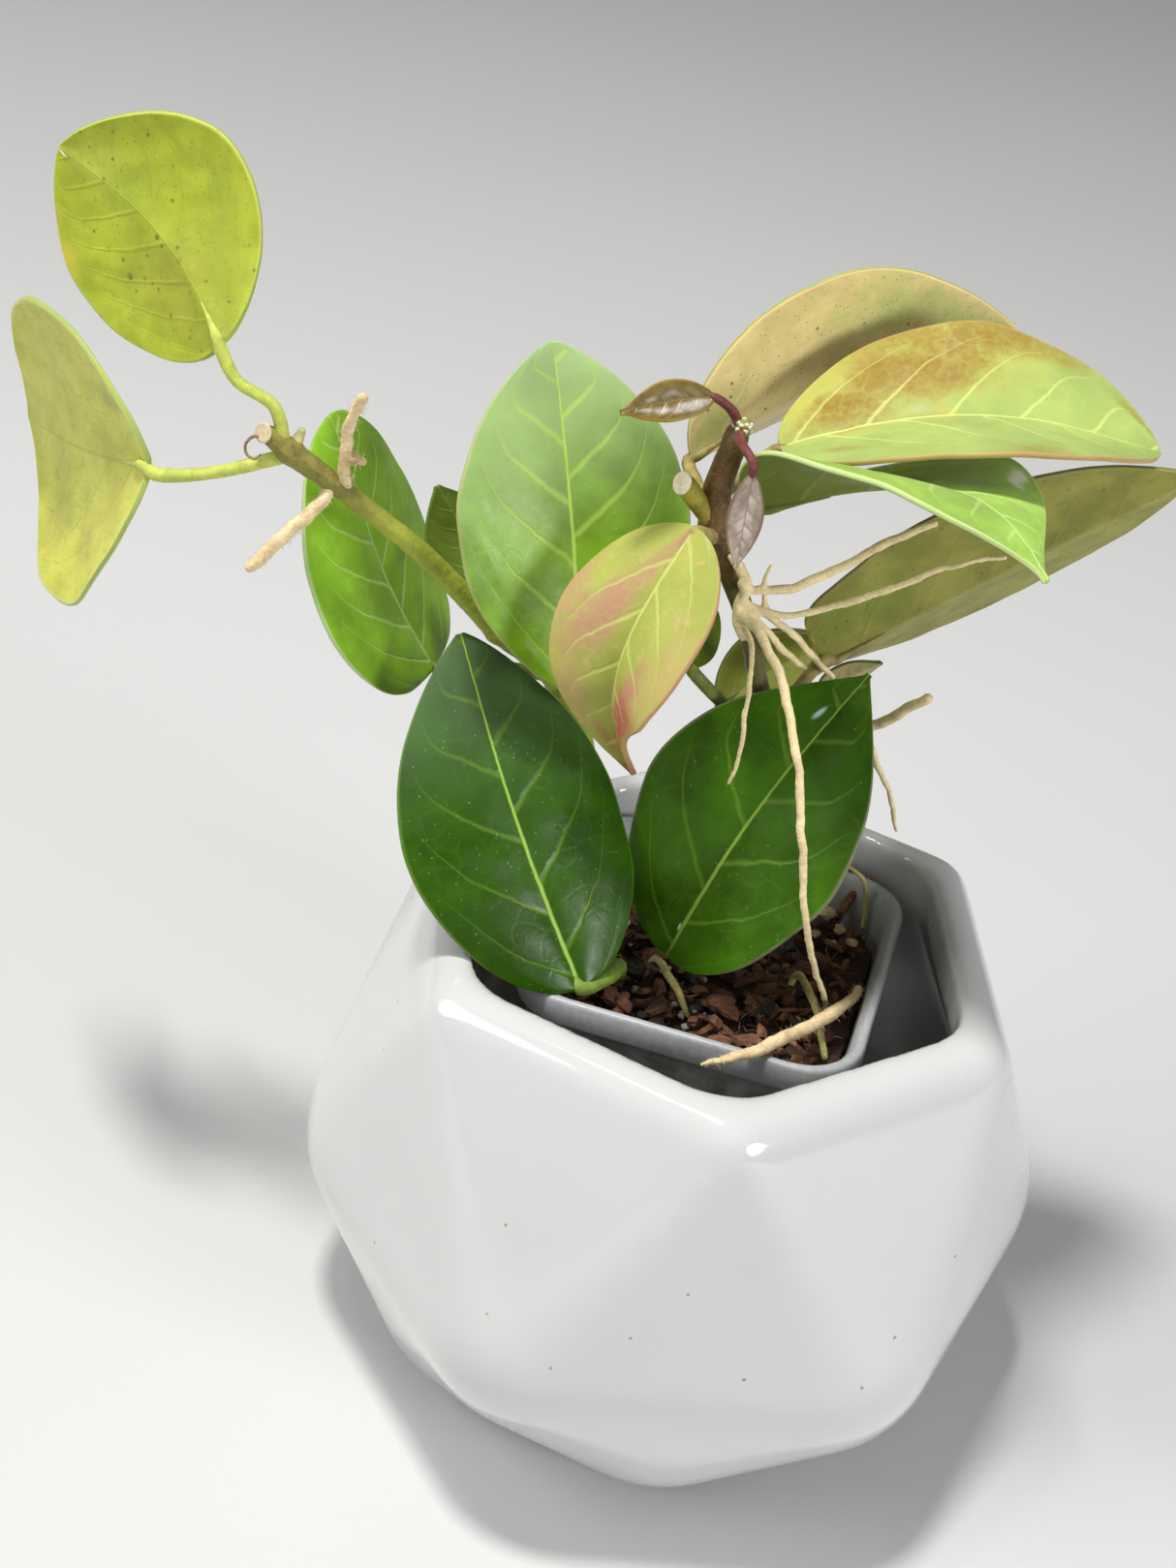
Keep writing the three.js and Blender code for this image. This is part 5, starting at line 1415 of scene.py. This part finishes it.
            "leaf_khaki_underside", "olive_stalk",
            veined((0.05, 0.08, 0.01), (0.14, 0.18, 0.05)),
            veined((0.42, 0.46, 0.08), (0.48, 0.50, 0.14)),
        ),
        "leaflet_shoot_left": (
            "leaflet_bronze", "bronze_stalk",
            veined(
                (0.20, 0.14, 0.03), (0.30, 0.22, 0.08), shade=0.6, patch=420.0,
                rim=(0.34, 0.22, 0.02), rim_from=0.8, rim_strength=0.8, spacing=0.16,
                vein_strength=(0.4, 0.4, 0.1), sheen=0.3, vein_width=0.016,
                spots=(
                    # The silver spots are a painted sheen.
                    (0.4, 0.20, 0.18, 0.9, PAINTED_SILVER_SHEEN), (0.45, 0.38, 0.16, 0.85, PAINTED_SILVER_SHEEN),
                    (0.45, 0.56, 0.15, 0.85, PAINTED_SILVER_SHEEN), (0.35, 0.74, 0.11, 0.7, PAINTED_SILVER_SHEEN),
                    (-0.35, 0.45, 0.10, 0.45, PAINTED_SILVER_SHEEN), (-0.3, 0.65, 0.08, 0.4, PAINTED_SILVER_SHEEN),
                ),
            ),
            veined((0.18, 0.10, 0.06), (0.3, 0.2, 0.12)),
        ),
        "leaflet_shoot_hanging": (
            "leaflet_bronze", "bronze_stalk",
            veined(
                (0.56, 0.45, 0.35), (0.26, 0.17, 0.12), shade=0.55, patch=420.0,
                rim=(0.16, 0.08, 0.05), rim_from=0.72, rim_strength=0.9, spacing=0.16,
                vein_strength=(0.55, 0.55, 0.1), sheen=0.3, vein_width=0.018,
                spots=(
                    # The silver spots are a painted sheen.
                    (0.2, 0.30, 0.20, 0.8, PAINTED_SILVER_SHEEN), (-0.1, 0.50, 0.20, 0.9, PAINTED_SILVER_SHEEN),
                    (0.25, 0.66, 0.18, 0.8, PAINTED_SILVER_SHEEN), (-0.2, 0.82, 0.12, 0.7, PAINTED_SILVER_SHEEN),
                    (0.1, 0.04, 0.08, 0.8, (0.2, 0.1, 0.05)),
                ),
            ),
            veined((0.18, 0.10, 0.06), (0.3, 0.2, 0.12)),
        ),
    }


# Colour, streak and fleck of each sort of leaf stalk.
STALK_SKINS = {
    "lime_stalk": ((0.56, 0.62, 0.12), (0.40, 0.45, 0.08), (0.7, 0.66, 0.25)),
    "olive_stalk": ((0.20, 0.25, 0.05), (0.12, 0.14, 0.03), (0.3, 0.26, 0.1)),
    "green_stalk": ((0.22, 0.33, 0.05), (0.14, 0.22, 0.03), (0.3, 0.35, 0.1)),
    "khaki_stalk": ((0.38, 0.34, 0.11), (0.26, 0.18, 0.07), (0.45, 0.38, 0.15)),
    "bronze_stalk": ((0.20, 0.045, 0.05), (0.11, 0.03, 0.025), (0.3, 0.16, 0.1)),
}


def make_leaves(nodes, plant):
    """The named leaves. Leaves with the same skin on their stalks share its material."""
    looks = leaf_looks()
    for node in nodes:
        slot, skin, upper, under = looks[node]
        stalk_skin = (bpy.data.materials.get(skin)
                      or stem_material(skin, *STALK_SKINS[skin], 500.0, 0.36))
        make_leaf(node, plant, upper, under, stalk_skin)


# ---- roots ---------------------------------------------------------------------------------------
ROOT_KNOT = [
    (-9, 3.5, 161.5, 0.7), (-7, 2.5, 160, 0.95), (-5.8, 2, 157.5, 1.0), (-6.2, 2, 154.5, 0.95),
    (-5.8, 1.5, 151.5, 1.05), (-4.6, 0.5, 149.5, 0.7),
]
KNOTS = (((-6.2, 1.7, 158.2), 1.1), ((-5.6, 1.4, 152.6), 1.15))
KNOT_ROOTS = [
    [
        (-5.8, 1.5, 153, 0.95), (-3, -1, 152.5, 0.9), (-1, -3, 150.5, 0.85), (2, -5, 147.5, 0.8),
        (4, -8, 144, 0.78), (7.5, -12, 136.5, 0.75), (10.5, -14.5, 125.5, 0.7),
        (12.8, -15, 115, 0.65), (15, -15, 106.5, 0.62), (18, -12, 97, 0.58), (21, -6, 87, 0.52),
        (22, -3, 81, 0.5),
    ],
    [
        (-6, 1.5, 152.5, 0.6), (-3.5, 0, 149.5, 0.55), (-2.5, -1.5, 145, 0.5),
        (-2, -3.5, 136, 0.48), (-1.5, -5.5, 130, 0.42), (-2.5, -6.5, 126.5, 0.36),
    ],
    [
        (-5.5, 2, 155, 0.8), (-1, 4, 152, 0.7), (3, 6, 149, 0.65), (8, 12, 141.5, 0.55),
        (11, 14.5, 138, 0.5),
    ],
    [(-5.5, 2, 153.5, 0.7), (-1.5, 2.5, 150.5, 0.65), (3, 6, 145, 0.6), (6.3, 11, 140.5, 0.5)],
    [
        (-5.8, 2, 157, 0.7), (0, 4, 157.5, 0.8), (6, 6, 160.5, 0.8), (14, 7, 167, 0.75),
        (21, 7.5, 172, 0.6),
    ],
    [
        (-5.5, 2, 154.5, 0.6), (1, 4, 153, 0.6), (9, 5, 156, 0.6), (17, 3, 162, 0.6),
        (25, 0, 169, 0.5), (32, -2, 173, 0.4),
    ],
    [(-2, 4, 153, 0.5), (-3, 3, 158, 0.45), (-2.5, 2, 162, 0.35)],
]
BACK_ROOTS = [
    [(2, 12, 127, 1.0), (10, 16, 125, 0.9), (19, 16, 129, 1.0), (27, 12, 139, 0.9)],
    [
        (2, 12, 127, 1.0), (10, 17, 126, 0.8), (19, 18, 125, 0.7), (22, 19, 120, 0.6),
        (25, 20, 115, 0.5), (28, 22, 106, 0.4),
    ],
]
VINE_ROOT_UP = [
    [(-70, -2.5, 162, 0.95), (-70.5, -4, 168, 1.05), (-70, -5, 175, 1.0), (-68, -7, 181, 0.85)],
    [(-70.3, -4.5, 170, 0.8), (-67.6, -4.8, 169.5, 0.6)],
]
VINE_ROOT_DOWN = [
    [(-72, -3, 164, 1.0), (-74, -5, 161, 1.1), (-78, -7, 156, 1.15), (-83, -9, 150, 1.0)],
]
SOIL_ROOTS = {
    "root_on_soil_left": [
        (-10, 1, 81.5, 0.6), (-9, -1.5, 84.9, 0.7), (-6.1, -6.3, 85.3, 0.75),
        (-3.4, -10.6, 84.8, 0.65), (-1.5, -11.6, 81.8, 0.5),
    ],
    "root_hanging_back": [
        (21, 27, 93.2, 0.4), (24.6, 27, 91.3, 0.5), (26.2, 26.4, 87, 0.55), (26.6, 24.5, 82, 0.5),
    ],
    "root_on_soil_right": [
        (14.6, 0.2, 82, 0.6), (15.8, 1, 86, 0.7), (18.2, -3.7, 86.3, 0.75), (20.6, -10.3, 86, 0.7),
        (22.6, -15.4, 82.3, 0.6),
    ],
    "root_across_rim": [
        (2.5, -31.9, 88.6, 0.4), (6.1, -31, 90, 0.8), (10.5, -27.9, 90.7, 1.1),
        (13.4, -24.4, 90.2, 1.15), (16.5, -19.5, 89, 1.15), (21.9, -11, 87.6, 1.2),
        (26, -2.8, 86.2, 0.9), (26.6, 0.5, 85.8, 0.8), (26.8, 4.5, 82, 0.7),
    ],
}


ROOT_SWAY = 0.35
FUZZ_SEED = 20


def fuzz(path, count, length, material, seed):
    """Fine hairs standing on a tube. The path is in mm, the hair length in metres."""
    begin()
    bpy.ops.mesh.primitive_cone_add(vertices=3, radius1=0.00006, radius2=0.00001, depth=1.0,
                                    location=(0, 0, 0.5), end_fill_type="NOTHING")
    hair = bpy.context.object
    settle(hair)
    modify(hair, "SIMPLE_DEFORM", deform_method="TAPER", factor=-0.3, deform_axis="Z")
    dress(hair, material)
    chance = random.Random(seed)
    line = smooth_path(path, 8)
    places = []
    for _ in range(count):
        i = chance.randrange(len(line) - 1)
        a, b = line[i], line[i + 1]
        way = (Vector(b[:3]) - Vector(a[:3])).normalized()
        out = way.orthogonal().normalized()
        out.rotate(Matrix.Rotation(chance.uniform(0, math.tau), 3, way))
        lean = (out + way * chance.uniform(-0.7, 0.7)).normalized()
        spot = Vector(a[:3]).lerp(Vector(b[:3]), chance.random()) + out * a[3] * 0.8
        tall = length * chance.uniform(0.4, 1.0)
        turn = lean.to_track_quat("Z", "Y").to_matrix().to_4x4()
        places.append((Matrix.Translation(spot * MM) @ turn @ Matrix.Diagonal((1, 1, tall, 1)),
                       chance.random()))
    hairs = scatter(hair, places)
    bpy.data.objects.remove(hair)
    return hairs


def make_root(node, paths, plant, skin, bumps, hairs=0, knots=()):
    """Tubes and knots fused into one gnarled root, with fine hairs on each path if asked."""
    tubes = [tube("root", path, 6, first=True, sway=ROOT_SWAY) for path in paths]
    tubes += [pebble("knot", spot, size, 3) for spot, size in knots]
    root = fused(tubes, node + "_skin", plant.root_grain)
    knobbly(root, 2.4, bumps)
    knobbly(root, 0.7, bumps * 0.45)
    dress(root, skin)
    pieces = [root]
    if hairs:
        for number, path in enumerate(paths):
            pieces += fuzz(path, hairs, plant.fuzz_length, skin, FUZZ_SEED + number)
    whole = join(pieces, node + "_living")
    stand_for(whole, node)


# ---- stage ---------------------------------------------------------------------------------------
CAMERA_SPOT = Vector((0, -0.3076, 0.3137))
CAMERA_YAW, CAMERA_PITCH, CAMERA_ROLL = (math.radians(a) for a in (-4.76, 32.55, 8.9))
FOCAL_PIXELS = 2245
PHOTO_SIZE = (1214, 1619)
SENSOR = 36
FLOOR_SIZE, FLOOR_DROP = 8, 0.0002
LAMP_AIM = Vector((0, 0, 0.1))
# Name, place, width, watts and colour.
LAMPS = (
    ("overhead", (-0.22, -0.12, 1.3), 0.16, 12.5, (1.0, 0.99, 0.97)),
    ("high_window", (-0.38, -0.1, 1.2), 0.07, 0.9, (1.0, 1.0, 1.0)),
    ("left_window", (-1.2, -0.5, 1.0), 1.1, 12, (1.0, 0.99, 0.97)),
    ("right_fill", (1.35, -0.8, 0.5), 0.55, 13.5, (0.97, 0.98, 1.0)),
)
ROOM_TONE, ROOM_LIGHT = (0.97, 0.98, 1.0, 1), 0.25


def make_camera():
    """The camera that took the photo, as fitted to both pots in it."""
    ahead = Vector((math.sin(CAMERA_YAW) * math.cos(CAMERA_PITCH),
                    math.cos(CAMERA_YAW) * math.cos(CAMERA_PITCH), -math.sin(CAMERA_PITCH)))
    level = Vector((math.cos(CAMERA_YAW), -math.sin(CAMERA_YAW), 0))
    above = level.cross(ahead)
    right = level * math.cos(CAMERA_ROLL) + above * math.sin(CAMERA_ROLL)
    upward = above * math.cos(CAMERA_ROLL) - level * math.sin(CAMERA_ROLL)
    lens = bpy.data.cameras.new("photo_camera")
    lens.sensor_fit = "AUTO"
    lens.sensor_width = SENSOR
    lens.lens = SENSOR * FOCAL_PIXELS / max(PHOTO_SIZE)
    lens.clip_start = 0.01
    camera = bpy.data.objects.new("photo_camera", lens)
    turn = Matrix((right, upward, -ahead)).transposed()
    camera.matrix_world = Matrix.Translation(CAMERA_SPOT) @ turn.to_4x4()
    bpy.context.scene.collection.objects.link(camera)
    bpy.context.scene.camera = camera


def make_lamp(name, spot, size, watts, tone):
    """A round soft lamp that looks at the pot's rim."""
    begin()
    bpy.ops.object.light_add(type="AREA", location=spot)
    lamp = bpy.context.object
    lamp.name = name
    lamp.data.shape = "DISK"
    lamp.data.size = size
    lamp.data.energy = watts
    lamp.data.color = tone
    lamp.rotation_euler = (LAMP_AIM - Vector(spot)).to_track_quat("-Z", "Y").to_euler()


def floor_material(colour):
    """Plain pale floor, almost even."""
    material, s, surface = new_material("pale_floor", colour)
    cloudy = s.ease(s.noise(s.object_place(), 3.0, 4.0), 0.3, 0.7)
    s.feed(surface.inputs["Base Color"], s.mix(cloudy, rgba(shaded(colour, 0.98)), rgba(colour)))
    surface.inputs["Roughness"].default_value = 0.7
    return material


# ---- operators -----------------------------------------------------------------------------------
class HOYA_OT_cachepot(bpy.types.Operator):
    """Faceted white cachepot"""

    bl_idname = "hoya.cachepot"
    bl_label = "Cachepot"

    def execute(self, context):
        make_cachepot(context.scene.hoya_pots, context.scene.hoya_colours)
        return {"FINISHED"}


class HOYA_OT_nursery_pot(bpy.types.Operator):
    """Square frosted nursery pot with its rim band and drain holes"""

    bl_idname = "hoya.nursery_pot"
    bl_label = "Nursery pot"

    def execute(self, context):
        make_nursery_pot(context.scene.hoya_pots, context.scene.hoya_colours)
        return {"FINISHED"}


class HOYA_OT_potting_mix(bpy.types.Operator):
    """Bark, charcoal and perlite in the nursery pot"""

    bl_idname = "hoya.potting_mix"
    bl_label = "Potting mix"

    def execute(self, context):
        make_potting_mix(context.scene.hoya_pots, context.scene.hoya_colours)
        return {"FINISHED"}


class HOYA_OT_stems(bpy.types.Operator):
    """Main stem with its cut stub and shoot bud, and the trailing vine"""

    bl_idname = "hoya.stems"
    bl_label = "Stems"

    def execute(self, context):
        make_main_stem(context.scene.hoya_plant, context.scene.hoya_colours)
        make_vine(context.scene.hoya_plant, context.scene.hoya_colours)
        return {"FINISHED"}


class HOYA_OT_leaves(bpy.types.Operator):
    """All the leaves, from the big ones on the vine to the small ones behind"""

    bl_idname = "hoya.leaves"
    bl_label = "Leaves"

    def execute(self, context):
        make_leaves([node for node in LEAVES if node.startswith("leaf_")], context.scene.hoya_plant)
        return {"FINISHED"}


class HOYA_OT_leaflets(bpy.types.Operator):
    """Bronze leaflets of the young shoot"""

    bl_idname = "hoya.leaflets"
    bl_label = "Shoot leaflets"

    def execute(self, context):
        make_leaves([node for node in LEAVES if node.startswith("leaflet_")],
                    context.scene.hoya_plant)
        return {"FINISHED"}


class HOYA_OT_roots(bpy.types.Operator):
    """Aerial roots on the stems and loose roots on the mix"""

    bl_idname = "hoya.roots"
    bl_label = "Roots"

    def execute(self, context):
        plant, colours = context.scene.hoya_plant, context.scene.hoya_colours
        tan = root_material("tan_root", colours.root, shaded(colours.root, 0.8))
        woody = root_material("woody_root", (0.88, 0.71, 0.42), (0.66, 0.48, 0.26))
        yellow = root_material("yellow_root", (0.56, 0.50, 0.20), (0.38, 0.32, 0.11))
        make_root("aerial_roots_knot", [ROOT_KNOT] + KNOT_ROOTS, plant, tan, 0.3, knots=KNOTS)
        make_root("aerial_roots_back", BACK_ROOTS, plant, tan, 0.3)
        make_root("vine_root_up", VINE_ROOT_UP, plant, woody, 0.5, hairs=150)
        make_root("vine_root_down", VINE_ROOT_DOWN, plant, woody, 0.5, hairs=170)
        for node, path in SOIL_ROOTS.items():
            if node == "root_across_rim":
                make_root(node, [path], plant, woody, 0.4, hairs=220)
            else:
                make_root(node, [path], plant, yellow, 0.25)
        return {"FINISHED"}


class HOYA_OT_stage(bpy.types.Operator):
    """Pale floor, soft studio light and the photo camera"""

    bl_idname = "hoya.stage"
    bl_label = "Stage"

    def execute(self, context):
        begin()
        bpy.ops.mesh.primitive_plane_add(size=FLOOR_SIZE, location=(0, 0, -FLOOR_DROP))
        ground = context.object
        ground.name = "floor"
        settle(ground)
        dress(ground, floor_material(context.scene.hoya_colours.floor))
        for lamp in LAMPS:
            make_lamp(*lamp)
        world = bpy.data.worlds.new("studio")
        world.use_nodes = True
        room = world.node_tree.nodes["Background"].inputs
        room["Color"].default_value = ROOM_TONE
        room["Strength"].default_value = ROOM_LIGHT
        context.scene.world = world
        context.scene.view_settings.view_transform = "Standard"
        make_camera()
        return {"FINISHED"}


BUILD_ORDER = (
    HOYA_OT_cachepot, HOYA_OT_nursery_pot, HOYA_OT_potting_mix, HOYA_OT_stems, HOYA_OT_leaves,
    HOYA_OT_leaflets, HOYA_OT_roots, HOYA_OT_stage,
)


class HOYA_PT_panel(bpy.types.Panel):
    """Sizes, colours and building steps of the potted hoya"""

    bl_idname = "HOYA_PT_panel"
    bl_label = "Potted hoya"
    bl_space_type = "VIEW_3D"
    bl_region_type = "UI"
    bl_category = "Hoya"

    def draw(self, context):
        scene = context.scene
        for group in (scene.hoya_pots, scene.hoya_plant, scene.hoya_colours):
            box = self.layout.box()
            for key in type(group).__annotations__:
                box.prop(group, key)
        for step in BUILD_ORDER:
            self.layout.operator(step.bl_idname)


CLASSES = (HoyaPotSizes, HoyaPlantSizes, HoyaColours, *BUILD_ORDER, HOYA_PT_panel)


def register():
    """Makes the sizes, colours, steps and panel known to Blender."""
    for item in CLASSES:
        bpy.utils.register_class(item)
    bpy.types.Scene.hoya_pots = bpy.props.PointerProperty(type=HoyaPotSizes)
    bpy.types.Scene.hoya_plant = bpy.props.PointerProperty(type=HoyaPlantSizes)
    bpy.types.Scene.hoya_colours = bpy.props.PointerProperty(type=HoyaColours)


def unregister():
    """Takes them out again."""
    del bpy.types.Scene.hoya_pots, bpy.types.Scene.hoya_plant, bpy.types.Scene.hoya_colours
    for item in reversed(CLASSES):
        bpy.utils.unregister_class(item)


def main():
    """Builds the whole scene in order."""
    register()
    mottle_group()
    venation_group()
    for step in BUILD_ORDER:
        family, name = step.bl_idname.split(".")
        getattr(getattr(bpy.ops, family), name)()


if __name__ == "__main__":
    main()
